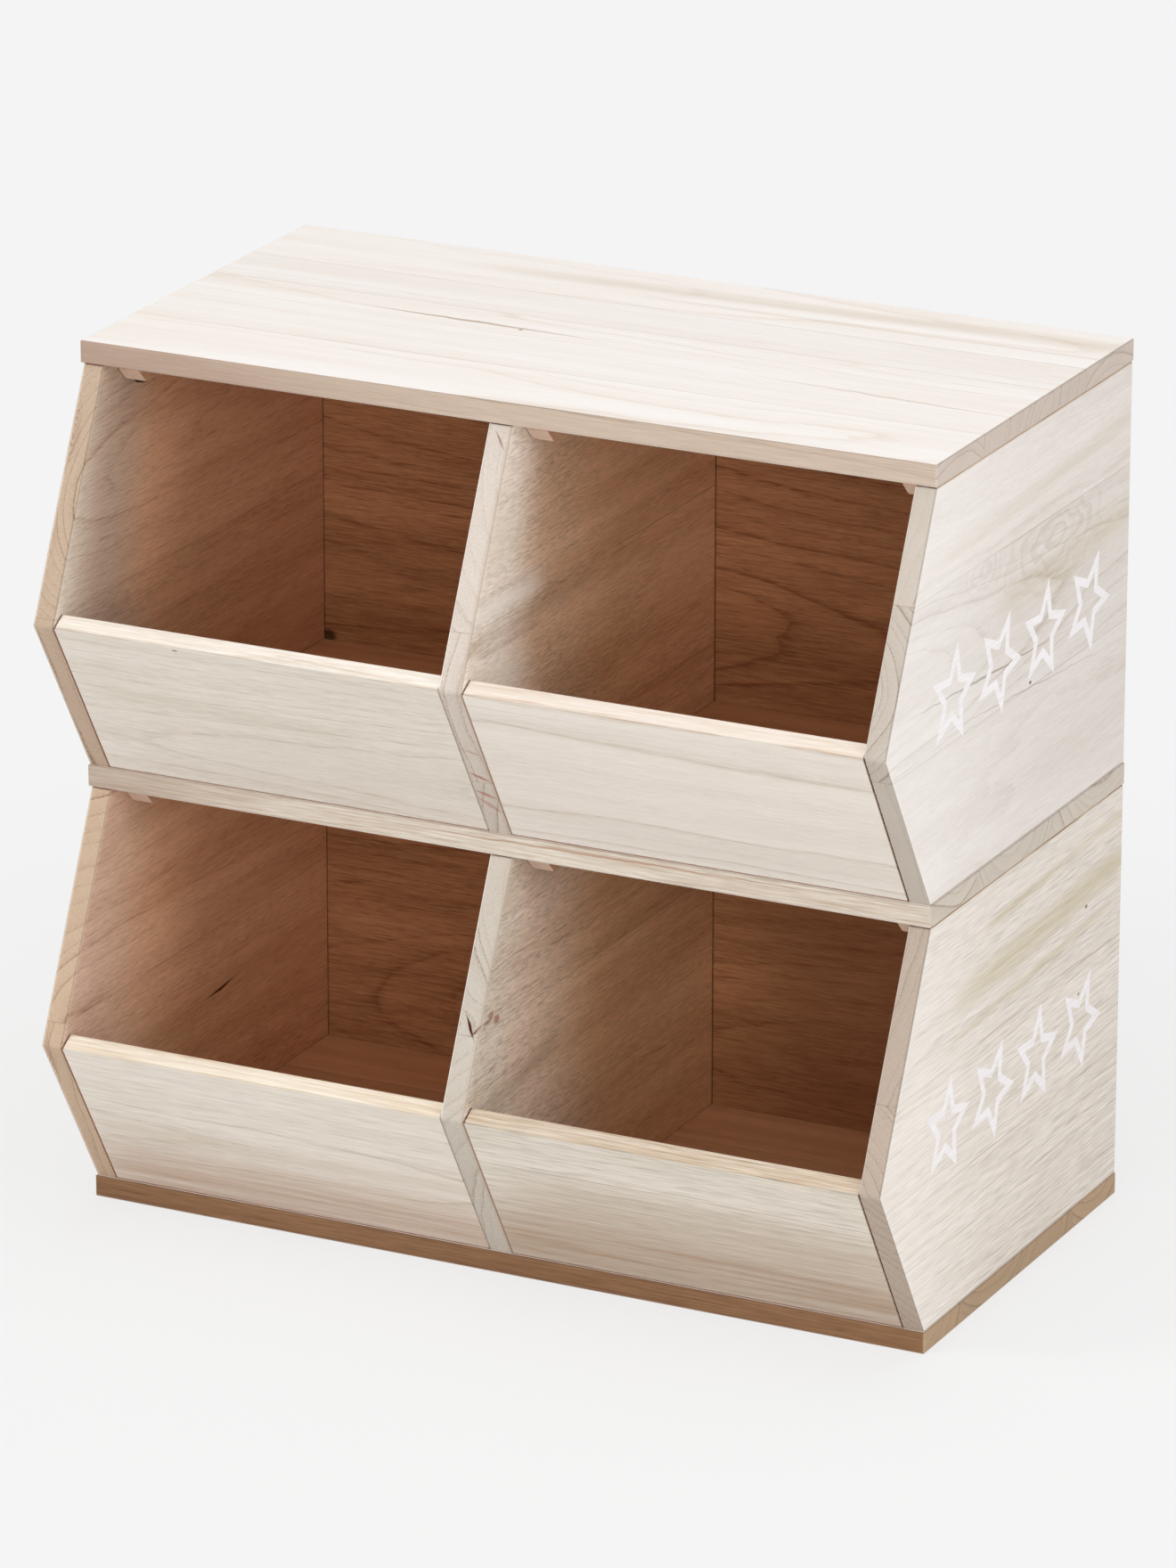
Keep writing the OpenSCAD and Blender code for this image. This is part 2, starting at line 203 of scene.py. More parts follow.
def stave_group():
    """Figure of one sawn stave of paulownia, as a solid pattern in millimetres.

    The rings are cylinders round a pith that may lie outside the stave, so a face shows straight
    lines or arches by how the stave was cut, and an end shows arcs. Real pores are a third of a
    millimetre wide. They are drawn 1 mm wide, and fibres 1.3 mm, so that they show at all.
    """
    tree = bpy.data.node_groups.new("sawn_stave", "ShaderNodeTree")
    socket_list(tree, "INPUT", ("*Point", "Pith Across", "Pith Depth", "Lean", "Ring Width", "Seed",
                                "Swell", "Shortness"))
    socket_list(tree, "OUTPUT", ("Rings", "Streaks", "Fibre", "Pores"))
    given = add(tree, "NodeGroupInput").outputs
    seed = add(tree, "CombineXYZ", (given["Seed"],) * 3)
    apart = add(tree, "VectorMath MULTIPLY", (seed, (211.0, 37.0, 73.0)))
    place = add(tree, "VectorMath", (given["Point"], apart))
    squeeze = add(tree, "CombineXYZ", (given["Shortness"], 1.0, 1.0))
    drawn_out = add(tree, "VectorMath MULTIPLY", (place, squeeze))

    def warp(lengths, reach, onto):
        """Shifts points across and through the board by up to half of reach, unevenly."""
        noise = grain(tree, place, lengths, 2.0).outputs["Color"]
        shift = add(tree, "VectorMath SUBTRACT", (noise, (0.5, 0.5, 0.5)))
        return add(tree, "VectorMath MULTIPLY_ADD", (shift, (0.0, reach, reach), onto))

    bent = warp((60.0, 12.0, 12.0), 2.4, warp((260.0, 90.0, 90.0), 17.0, given["Point"]))
    part = add(tree, "SeparateXYZ", (bent,)).outputs
    lean = add(tree, "Math MULTIPLY", (part["X"], given["Lean"]))
    across = add(tree, "Math SUBTRACT", (part["Y"], given["Pith Across"]))
    depth = add(tree, "Math SUBTRACT", (part["Z"], given["Pith Depth"]))
    depth = add(tree, "Math ADD", (depth, lean))
    from_pith = add(tree, "CombineXYZ", (across, depth))
    radius = add(tree, "VectorMath LENGTH", (from_pith,))
    radius = add(tree, "Math ADD", (radius, given["Swell"]))

    # Rings: good and bad years make them uneven, and each fades from a dark line outwards
    years_apart, unevenness, sharper, body_share = 3.7, 1.6, 2.2, 0.3
    count = add(tree, "Math DIVIDE", (radius, given["Ring Width"]))
    offset = add(tree, "Math MULTIPLY_ADD", (given["Seed"], years_apart, count))
    uneven = add(tree, "TexNoise 1D", {"W": offset, "Scale": 0.45, "Detail": 1.0})
    count = add(tree, "Math MULTIPLY_ADD", (uneven, unevenness, offset))
    within = add(tree, "Math FRACT", (count,))
    ring = add(tree, "Math FLOOR", (count,))
    year = add(tree, "TexWhiteNoise 1D", {"W": ring})
    fade = add(tree, "Math SUBTRACT", (1.0, within))
    before = add(tree, "Math MULTIPLY", (fade, sharper))
    near = add(tree, "Math MINIMUM", (within, before))
    line = add(tree, "MapRange SMOOTHSTEP", {"Value": near, "From Min": 0.17, "From Max": 0.0,
                                             "To Max": 0.9})
    body = add(tree, "Math POWER", (fade, 2.0))
    rings = add(tree, "Math MULTIPLY_ADD", (body, body_share, line))
    strong = add(tree, "Math POWER", (year, 2.0))
    vigour = add(tree, "MapRange", {"Value": strong, "To Min": 0.15})
    rings = add(tree, "Math MULTIPLY", (rings, vigour))

    # Streaks, fibre and pores; the fibre breaks up the rings, and early wood has the most pores
    streaks = add(tree, "MapRange", {"Value": grain(tree, place, (320.0, 20.0, 20.0), 2.0),
                                     "From Min": 0.36, "From Max": 0.68})
    fibre = add(tree, "MapRange", {"Value": grain(tree, drawn_out, (22.0, 1.3, 1.3), 2.0, 0.6),
                                   "From Min": 0.36, "From Max": 0.66})
    broken, whole = 0.7, 0.6
    dashes = add(tree, "Math MULTIPLY_ADD", (fibre, broken, whole))
    rings = add(tree, "Math MULTIPLY", (rings, dashes))
    open_pores = add(tree, "MapRange", {"Value": grain(tree, drawn_out, (8.0, 1.0, 1.0), 1.0),
                                        "From Min": 0.44, "From Max": 0.66})
    early = add(tree, "MapRange", {"Value": fade, "From Min": 0.3, "To Min": 0.55})
    pores = add(tree, "Math MULTIPLY", (open_pores, early))
    add(tree, "NodeGroupOutput", (rings, streaks, fibre, pores))


def inside_group():
    """How far a point lies inside a cell: 0 outside and at the front edges, 1 deep in the bin.

    Under the board above the inside starts sooner: a painted shadow of that board. The warmer,
    deeper tones that this sets are partly the timber's own tan and partly painted shade.
    """
    sooner, edge_gap = 0.25, 0.4
    tree = bpy.data.node_groups.new("inside_a_cell", "ShaderNodeTree")
    socket_list(tree, "INPUT", ("*Place", "Start", "Full"))
    socket_list(tree, "OUTPUT", ("Inside",))
    given = add(tree, "NodeGroupInput").outputs
    part = add(tree, "SeparateXYZ", (given["Place"],)).outputs
    in_bin = add(tree, "Math MODULO", (part["Z"], BIN_H))

    def front_line(low, high):
        """Y of the straight line through two corners of the front edge, at this height."""
        slope = (high[0] - low[0]) / (high[1] - low[1])
        return add(tree, "Math MULTIPLY_ADD", (in_bin, slope, low[0] - slope * low[1]))

    front = add(tree, "Math MAXIMUM", (front_line(FOOT, NOSE), front_line(NOSE, TOP)))
    depth = add(tree, "Math SUBTRACT", (part["Y"], front))
    # Painted shadow of the board above: higher up, the inside starts nearer the front
    higher = add(tree, "Math SUBTRACT", (in_bin, NOSE[1]))
    higher = add(tree, "Math MAXIMUM", (higher, 0.0))
    depth = add(tree, "Math MULTIPLY_ADD", (higher, sooner, depth))
    inside = add(tree, "MapRange SMOOTHSTEP", {"Value": depth, "From Min": given["Start"],
                                               "From Max": given["Full"]})
    sideways = add(tree, "Math ABSOLUTE", (part["X"],))
    for value, limit in ((sideways, SIDE_IN), (part["Y"], BACK_IN), (part["Z"], LID_Z)):
        under = add(tree, "Math LESS_THAN", (value, limit + edge_gap))
        inside = add(tree, "Math MULTIPLY", (inside, under))
    add(tree, "NodeGroupOutput", (inside,))


# Marks in the wood, and lines of painted shade and highlight: each gives its mask, its colour,
# how deep it lies and where it may show. A point's parts X, Y and Z run along, across and
# through the grain, in millimetres.

def stain(across, width, start, end, slope=0.0, strength=0.6, colour="#B5A67C"):
    """A mineral streak that runs with the grain, soft at its edges and uneven along its length."""
    def mask(tree, point, part):
        rough = grain(tree, point, (220, 6, 6), 5.0, 0.6)
        line = add(tree, "Math MULTIPLY_ADD", (part["X"], slope, across))
        off = distance(tree, part["Y"], line)
        body = add(tree, "MapRange SMOOTHSTEP", {"Value": off, "From Min": width / 2,
                                                 "From Max": 0.0})
        patchy = add(tree, "MapRange", {"Value": rough, "From Min": 0.36, "From Max": 0.66,
                                        "To Min": 0.45})
        half, full_share = (end - start) / 2, 0.6
        away = distance(tree, part["X"], (start + end) / 2)
        reach = add(tree, "MapRange SMOOTHSTEP", {"Value": away, "From Min": half,
                                                  "From Max": half * full_share,
                                                  "To Max": strength})
        both = add(tree, "Math MULTIPLY", (body, patchy))
        return add(tree, "Math MULTIPLY", (both, reach))
    return mask, colour, 0.0, "face"


def wash(start, full, colour, strength, kind=None):
    """A change of tone that grows along the grain from start to full, on all or one kind."""
    def mask(tree, point, part):
        return add(tree, "MapRange SMOOTHSTEP", {"Value": part["X"], "From Min": start,
                                                 "From Max": full, "To Max": strength})
    return mask, colour, 0.0, kind


def crack(across, width, start, end, slope=0.0, strength=0.8, colour="#5C4029", deep=0.2,
          wave=4.0):
    """A thin dark check, ring shake or vein, which wanders a little and tapers at both ends."""
    def mask(tree, point, part):
        sway = add(tree, "TexNoise 1D", {"W": part["X"], "Scale": 0.04, "Detail": 3.0})
        line = add(tree, "Math MULTIPLY_ADD", (part["X"], slope, across - wave / 2))
        line = add(tree, "Math MULTIPLY_ADD", (sway, wave, line))
        off = distance(tree, part["Y"], line)
        away = distance(tree, part["X"], (start + end) / 2)
        open_w = add(tree, "MapRange", {"Value": away, "From Min": (end - start) / 2,
                                        "From Max": 0.0, "To Max": width})
        shut = add(tree, "Math SUBTRACT", (open_w, off))
        return add(tree, "MapRange", {"Value": shut, "From Max": width / 2, "To Max": strength})
    return mask, colour, deep, None


def knot(along, across, long_r, across_r, strength=0.8, colour="#7A5638", deep=0.05):
    """A pin knot or the mouth of a small branch, with a ragged rim."""
    def mask(tree, point, part):
        away = from_spot(tree, point, along, across, long_r, across_r)
        rough = add(tree, "TexNoise", {"Vector": point, "Scale": 0.35, "Detail": 2.0})
        raggedness = 0.7
        ragged = add(tree, "Math MULTIPLY_ADD", (rough, raggedness, away))
        return add(tree, "MapRange", {"Value": ragged, "From Min": 1.45, "From Max": 0.9,
                                      "To Max": strength})
    return mask, colour, deep, None


def swirl(along, across, reach, spacing, stretch=2.0, strength=0.5, colour="#B8AA9A",
          until=1000.0):
    """Rings round a bud under the surface, drawn out along the grain, up to a glue line."""
    def mask(tree, point, part):
        rough = add(tree, "TexNoise", {"Vector": point, "Scale": 0.05, "Detail": 2.0})
        away = from_spot(tree, point, along, across, stretch, 1.0)
        waviness = 2.5
        away = add(tree, "Math MULTIPLY_ADD", (rough, spacing * waviness, away))
        lap = add(tree, "Math MULTIPLY", (away, 1 / spacing))
        lap = add(tree, "Math FRACT", (lap,))
        line = add(tree, "MapRange", {"Value": lap, "From Min": 0.45, "From Max": 0.95,
                                      "To Max": strength})
        shown = add(tree, "MapRange SMOOTHSTEP", {"Value": away, "From Min": reach + spacing,
                                                  "From Max": reach * 0.5})
        under = add(tree, "Math LESS_THAN", (part["Y"], until))
        shown = add(tree, "Math MULTIPLY", (shown, under))
        return add(tree, "Math MULTIPLY", (line, shown))
    return mask, colour, 0.0, None


def painted_light_line(at, width=1.2, strength=0.6, colour="#6B4C3A", axis="Y", below=None, kind=None):
    """A painted line, a little ragged: dark for painted shade where a board closes up against the
    next one, pale for a painted highlight along an arris.

    below keeps it to the part of an upright that lies below that height.
    """
    def mask(tree, point, part):
        off = distance(tree, part[axis], at)
        rough = add(tree, "TexNoise", {"Vector": point, "Scale": 0.4, "Detail": 2.0})
        off = add(tree, "Math MULTIPLY_ADD", (rough, width / 2, off))
        line = add(tree, "MapRange", {"Value": off, "From Min": width * 1.2,
                                      "From Max": width * 0.8, "To Max": strength})
        if below is None:
            return line
        under = add(tree, "Math LESS_THAN", (part["Y"], below))
        return add(tree, "Math MULTIPLY", (line, under))
    return mask, colour, 0.02, kind


def upright_shade_lines(left, right, shade_colour="#4C2618"):
    """Painted shade lines of an upright: under it, over it, and beside the front boards on its
    left or right.

    left and right are the X of the faces that a front board closes up against, or None. The
    painted shadow of the board above reaches a little way down the rounded front corner.
    """
    nose_z, shade_h = NOSE[1] - BOARD_T, 1.6
    # Painted shade: dark lines at the foot and the top, and the painted shadow of the board above
    # down the top of the front edge
    painted_light_lines = [painted_light_line(0.0, 0.9, 0.5, kind="not_edge"), painted_light_line(UPRIGHT, 0.9, 0.6, kind="not_edge"),
             painted_light_line(UPRIGHT, shade_h, 1.0, shade_colour, kind="end")]
    # Painted shade lines beside the front boards, where they close up against the upright
    if left is not None:
        painted_light_lines.append(painted_light_line(left, 1.4, 1.0, "#44200F", "Z", nose_z, "end"))
    if right is not None:
        painted_light_lines.append(painted_light_line(right, 1.1, 0.8, "#804A38", "Z", nose_z, "end"))
    return painted_light_lines


def on_edge(mark, order="ZYX", kind="end"):
    """The same mark drawn on an edge; order names the parts that run along and across it."""
    mask, colour, deep, _ = mark

    def edge_mask(tree, point, part):
        turned = [part[name] for name in order]
        return mask(tree, add(tree, "CombineXYZ", turned), dict(zip("XYZ", turned)))
    return edge_mask, colour, deep, kind


# Boards

def stave(edge, pith, depth, ring, seed, lean=0.0, tint=1.0, vivid=1.0):
    """One stave of a board: where it starts across the board, and how it lay in the log."""
    return {"edge": edge, "pith": pith, "depth": depth, "ring": ring, "seed": seed, "lean": lean,
            "tint": tint, "vivid": vivid}


def per_stave(tree, steps, values):
    """A value that changes from stave to stave across the board."""
    total = values[0]
    for step, before, after in zip(steps, values, values[1:]):
        total = add(tree, "Math MULTIPLY_ADD", (step, after - before, total))
    return total


def wood(name, axes, staves, figure=CALM, tones=None, marks=(), swells=(), cell=(6.0, 60.0),
         deep=130.0, rough=0.62):
    """Edge-glued paulownia, planed and sanded, and bleached on its faces.

    The bleach gives faces a chalky cream; edges, ends and the cells keep the timber's own tan. The
    cells' warmer, deeper tones are partly that tan and partly painted shade.
    axes are the board's origin and its three directions along, across and through the grain.
    swells are the places along and across where the rings bulge, with their reach and height.
    Inside a cell the tone turns to the mouth's over the two depths in cell, and to the inside's
    from there to the depth deep.
    """
    tones = {**TONES, **(tones or {})}
    material, tree, where = new_material(name)
    place = add(tree, "VectorMath MULTIPLY", (where["Object"], (1 / MM,) * 3))
    origin, *ways = axes

    def in_ways(vector):
        """A vector's three parts along, across and through the grain."""
        return [add(tree, "VectorMath DOT_PRODUCT", (vector, tuple(way))) for way in ways]

    parts = in_ways(add(tree, "VectorMath SUBTRACT", (place, tuple(origin))))
    point = add(tree, "CombineXYZ", parts)

    # The figure of all staves, each with its own place in the log
    joints = [stave["edge"] for stave in staves[1:]]
    steps = [add(tree, "Math GREATER_THAN", (parts[1], joint)) for joint in joints]
    swell = 0.0
    for along, across, reach, height in swells:
        away = from_spot(tree, point, along, across, reach * 2, reach)
        hump = add(tree, "MapRange SMOOTHSTEP", {"Value": away, "From Min": 1.0,
                                                 "From Max": 0.0, "To Max": height})
        swell = add(tree, "Math ADD", (swell, hump))
    log = {"Point": point, "Swell": swell, "Shortness": figure["short"]}
    for socket, key in (("Pith Across", "pith"), ("Pith Depth", "depth"), ("Lean", "lean"),
                        ("Ring Width", "ring"), ("Seed", "seed")):
        log[socket] = per_stave(tree, steps, [stave[key] for stave in staves])
    cut = add(tree, "Group", log, node_tree=bpy.data.node_groups["sawn_stave"]).outputs

    # What kind of surface a point lies on
    facing = in_ways(where["Normal"])
    # Painted shade on the arrises on one side of the thickness, the right of an upright, away from
    # the key lamp
    painted_arris_shade = add(tree, "MapRange", {"Value": facing[2], "From Min": 0.2, "From Max": 0.45,
                                         "To Max": -0.25})
    # Pale arrises on the other side, the left of an upright, facing the key lamp: partly wear,
    # partly painted highlight
    lit_and_rubbed_arris = add(tree, "MapRange", {"Value": facing[2], "From Min": -0.2, "From Max": -0.45,
                                     "To Max": figure["wear_and_highlight"]})
    facing = [add(tree, "Math ABSOLUTE", (value,)) for value in facing]
    end, edge = [add(tree, "MapRange", {"Value": value, "From Min": 0.25, "From Max": 0.6})
                 for value in facing[:2]]
    # Where the tone turns warmer and deeper into a cell: partly tan wood, partly painted shade
    mouth, within = [add(tree, "Group", {"Place": place, "Start": start, "Full": full},
                         node_tree=bpy.data.node_groups["inside_a_cell"])
                     for start, full in (cell, (cell[1], deep))]
    kinds = {"edge": edge, "end": end, "mouth": mouth, "inside": within}
    flat = add(tree, "Math MAXIMUM", (facing[0], facing[1]))
    flat = add(tree, "Math MAXIMUM", (flat, facing[2]))
    arris = add(tree, "MapRange", {"Value": flat, "From Min": 0.98, "From Max": 0.80})
    painted_arris_shade = add(tree, "Math MULTIPLY", (arris, painted_arris_shade))
    arris = add(tree, "Math MULTIPLY", (arris, lit_and_rubbed_arris))
    face_on = 0.9
    limits = {**kinds, "face": add(tree, "Math GREATER_THAN", (facing[2], face_on)),
              "not_edge": add(tree, "Math SUBTRACT", (1.0, edge))}

    def tone(index):
        """The pale or dark tone of the kind of surface that a point lies on."""
        colour = linear(tones["face"][index])
        for kind, mask in kinds.items():
            colour = add(tree, "Mix RGBA", {"Factor": mask, "A": colour,
                                            "B": linear(tones[kind][index])})
        return colour

    # How far the colour goes from the pale to the dark tone
    less_on_end, more_on_end = -0.85, 0.7
    not_end = add(tree, "Math MULTIPLY_ADD", (end, less_on_end, 1.0))
    vivid = per_stave(tree, steps, [stave["vivid"] * figure["rings"] for stave in staves])
    shade = add(tree, "Math MULTIPLY", (cut["Rings"], vivid))
    calm = add(tree, "Math MULTIPLY_ADD", (within, -figure["calm"], 1.0))
    shade = add(tree, "Math MULTIPLY", (shade, calm))
    for output, share, place_of_more, more in (("Streaks", figure["streaks"], within, 0.7),
                                               ("Fibre", figure["fibre"], edge, 1.6)):
        share = add(tree, "Math MULTIPLY_ADD", (place_of_more, share * more, share))
        share = add(tree, "Math MULTIPLY", (share, not_end))
        shade = add(tree, "Math MULTIPLY_ADD", (cut[output], share, shade))
    darker = add(tree, "Math MULTIPLY_ADD", (end, more_on_end, 1.0))
    shade = add(tree, "Math MULTIPLY", (shade, darker), use_clamp=True)
    colour = add(tree, "Mix RGBA", {"Factor": shade, "A": tone(0), "B": tone(1)})
    # The pale arris tone, partly wear and partly painted highlight
    colour = add(tree, "Mix RGBA", {"Factor": arris, "A": colour, "B": linear(ARRIS_WEAR_AND_HIGHLIGHT)})

    # Pores, each stave's own tint and the painted shade on the arrises away from the key lamp
    # scale that colour
    fewer = figure.get("deep_pores", figure["pores"]) - figure["pores"]
    share = add(tree, "Math MULTIPLY_ADD", (within, fewer, figure["pores"]))
    share = add(tree, "Math MULTIPLY", (share, not_end))
    mean_pores = 0.35
    pores = add(tree, "Math SUBTRACT", (mean_pores, cut["Pores"]))
    pores = add(tree, "Math MULTIPLY_ADD", (pores, share, 1.0))
    tint = per_stave(tree, steps, [stave["tint"] for stave in staves])
    pores = add(tree, "Math MULTIPLY", (pores, tint))
    pores = add(tree, "Math ADD", (pores, painted_arris_shade))
    colour = add(tree, "VectorMath SCALE", {0: colour, "Scale": pores})

    # Relief in millimetres, glue lines and marks
    height = 0.0
    for output, rise in (("Pores", -0.10), ("Fibre", -0.05)):
        height = add(tree, "Math MULTIPLY_ADD", (cut[output], rise, height))
    for joint in joints:
        line = add(tree, "MapRange", {"Value": distance(tree, parts[1], joint),
                                      "From Min": GLUE_W, "From Max": 0.15, "To Max": 0.35})
        colour = add(tree, "Mix RGBA", {"Factor": line, "A": colour, "B": linear(GLUE_LINE)})
    shine = 0.5
    for mask, mark_colour, pit, kind in marks:
        marked = mask(tree, point, dict(zip("XYZ", parts)))
        if kind:
            marked = add(tree, "Math MULTIPLY", (marked, limits[kind]))
        colour = add(tree, "Mix RGBA", {"Factor": marked, "A": colour, "B": linear(mark_colour)})
        if pit:
            height = add(tree, "Math MULTIPLY_ADD", (marked, -pit, height))
            bare = add(tree, "Math SUBTRACT", (1.0, marked))
            shine = add(tree, "Math MULTIPLY", (shine, bare))
    bump = add(tree, "Bump", {"Height": height, "Distance": MM, "Strength": 1.0})
    gloss = add(tree, "MapRange", {"Value": cut["Fibre"], "To Min": rough - 0.06,
                                   "To Max": rough + 0.08})
    surface = add(tree, "BsdfPrincipled", {
        "Base Color": colour, "Roughness": gloss, "Normal": bump, "IOR": 1.45,
        "Specular IOR Level": shine,
    })
    add(tree, "OutputMaterial", {"Surface": surface})
    return material


def dress(node, material):
    """Gives a CAD node its material."""
    obj = frame["nodes"][node]
    obj.data.materials.clear()
    obj.data.materials.append(material)


def dress_board(node, timber, ways, board, figure=CALM, front=0.0, painted_light_lines=(), **more):
    """Dresses a board of solid wood, whose dict holds its staves, tones, marks and figure."""
    origin = Vector((0, front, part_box(node)[0].z / MM))
    dress(node, wood(f"{timber}_paulownia_{node}", (origin, *ways), board["staves"],
                     figure={**figure, **board.get("figure", {})}, tones=board["tones"],
                     marks=[*board.get("marks", ()), *painted_light_lines], **more))


# Each board: its own tones and figure, where they aren't the usual ones, its staves and marks
LEVEL_BOARDS = {
    "lid_board": {
        "tones": {"face": ("#F1ECE8", "#D9C8B5"), "edge": ("#C8B6A5", "#9F8976"),
                  "end": ("#C7B9AD", "#998474")},
        "figure": {"rings": 0.42, "fibre": 0.1, "pores": 0.02},
        "staves": [stave(-400, -95, -60, 9, 1, lean=0.02),
                   stave(-48, 60, -30, 7, 2, lean=-0.02, tint=0.99),
                   stave(58, 190, -20, 6, 3, tint=0.97),
                   stave(110, 150, -70, 10, 4, lean=0.03)],
        "marks": [stain(152, 30, -200, 520, slope=0.03, strength=0.4, colour="#BCA888"),
                  stain(132, 8, -60, 480, strength=0.25, colour="#B49C78"),
                  crack(29, 2.4, -215, 30, -0.028, 0.65, "#A07C58"),
                  crack(10, 2, 80, 345, -0.06, 0.35, "#A8865F"),
                  knot(-59, 28, 2, 1.4),
                  wash(40, -300, "#A08272", 0.65, "edge")],
    },
    "upper_base_board": {
        "tones": {"edge": ("#D9D0C4", "#AE9984"), "end": ("#C8BEB1", "#978673")},
        "staves": [stave(-400, -80, 60, 10, 5), stave(-50, 10, 45, 9, 6, tint=0.97),
                   stave(70, 150, 60, 8, 7)],
        "marks": [wash(-100, -290, "#A08878", 0.5, "edge"),
                  on_edge(crack(10.6, 1.2, -150, 270, 0.006, 0.6, "#A0745A", wave=2.4),
                          "XZY", "edge")],
    },
    "lower_base_board": {
        "tones": {"edge": ("#8B6645", "#6A472C"), "end": ("#AC9173", "#82684E")},
        "staves": [stave(-400, -120, 40, 9, 8), stave(-60, -10, 70, 8, 9, tint=0.96),
                   stave(115, 150, 50, 10, 10, tint=1.03)],
    },
}


class SHELF_OT_dress_boards(bpy.types.Operator):
    """Lid and base boards: three or four staves each, with the grain from left to right"""
    bl_idname = "shelf.dress_boards"
    bl_label = "Dress Boards"

    def execute(self, context):
        for node, board in LEVEL_BOARDS.items():
            dress_board(node, "bleached", (X, Y, Z), board)
        return {"FINISHED"}


SIDES = {
    "upper_right_side": {
        "tones": {"face": ("#DFD8D3", "#BDB1A3"), "end": ("#BFB5AA", "#907F6D")},
        "figure": {"fibre": 0.20, "pores": 0.06},
        "staves": [stave(-100, 40, -300, 11, 21, tint=0.99, vivid=0.3),
                   stave(98, 150, 240, 6, 22, lean=0.06, tint=0.975, vivid=1.2),
                   stave(203, 300, -60, 9, 23, tint=1.03, vivid=0.4)],
        "marks": [stain(165, 40, -40, 230, slope=0.03, strength=0.45),
                  stain(225, 18, -150, 230, slope=0.05, strength=0.3),
                  crack(124, 1.1, -200, 120, -0.055, 0.6),
                  crack(100, 0.8, -190, 230, -0.075, 0.4, "#8C745C"),
                  knot(32, 101, 2.2, 1.4, strength=0.95),
                  swirl(67, 187, 50, 8.5, stretch=2.4, strength=0.45, until=203),
                  swirl(-43, 197, 34, 7, stretch=1.5, strength=0.35, until=203),
                  # Painted light: the face turns paler towards the front
                  wash(60, -150, "#FCF8F4", 0.3, "face")],
    },
    "lower_right_side": {
        "tones": {"face": ("#E0D8D0", "#BCB0A0"), "end": ("#B6A698", "#8C7A66")},
        "figure": {"rings": 0.45, "streaks": 0.14, "fibre": 0.42, "pores": 0.28,
                   "short": 0.35},
        "staves": [stave(-100, -320, -20, 6, 24, lean=0.02, tint=0.98),
                   stave(90, -240, -30, 6, 25, tint=0.99),
                   stave(168, 330, -90, 8, 26, tint=0.97)],
        "marks": [stain(210, 34, -110, 230, slope=0.05, strength=0.75, colour="#B3A57C"),
                  stain(186, 10, -120, 200, slope=0.05, strength=0.5),
                  stain(244, 12, -60, 230, slope=0.04, strength=0.5),
                  knot(130, 205, 2.2, 1.4, strength=0.9),
                  knot(120, 148, 2, 1.4, strength=0.7),
                  # Painted light: the face turns paler towards the front
                  wash(20, -150, "#FBF6F0", 0.3, "face")],
    },
    "upper_left_side": {
        "tones": {"inside": ("#E4B693", "#B8845F"), "mouth": ("#C1AA96", "#9E7F6B"),
                  "face": ("#E6DCCF", "#C9B79C"), "end": ("#BDA690", "#8D7258")},
        "staves": [stave(-100, 60, 200, 8, 27), stave(120, 200, -240, 5, 28, lean=0.06)],
        "marks": [on_edge(swirl(-296, 231, 27, 5, 0.25, 0.75, "#94705A")),
                  on_edge(swirl(-300, 165, 26, 6, 0.3, 0.7, "#98755C"))],
    },
    "lower_left_side": {
        "tones": {"inside": ("#EEC09A", "#C28B63"), "mouth": ("#DFBEA8", "#B68E78"),
                  "face": ("#E6DCCF", "#C9B79C"), "end": ("#C5AC93", "#96755D")},
        "staves": [stave(-100, 20, 230, 9, 29), stave(130, 120, -240, 10, 30, lean=-0.05)],
        "marks": [on_edge(swirl(-300, 112, 30, 4.5, 0.35, 0.9, "#8A6248")),
                  crack(83, 1.7, 0, 54, 0.07, 0.95, "#4A2814", 0.3)],
    },
}


class SHELF_OT_dress_sides(bpy.types.Operator):
    """Outer sides: staves with the grain from front to back, so the front edge is end grain"""
    bl_idname = "shelf.dress_sides"
    bl_label = "Dress Sides"

    def execute(self, context):
        for node, board in SIDES.items():
            # Painted shade lines where the boards meet; on the left sides also a pale painted
            # highlight down the outer arris of the front edge, which faces the key lamp
            painted_light_lines = upright_shade_lines(SIDE_IN, None)
            if "left" in node:
                painted_light_lines = [*upright_shade_lines(None, -SIDE_IN, "#80503C"),
                         painted_light_line(-SIDE_OUT, 2.4, 0.45, "#EADFD4", "Z", kind="end")]
            dress_board(node, "bleached", (Y, Z, X), board, LIVELY, painted_light_lines=painted_light_lines,
                        cell=(-70.0, 30.0) if node == "lower_left_side" else (-4.0, 60.0))
        return {"FINISHED"}


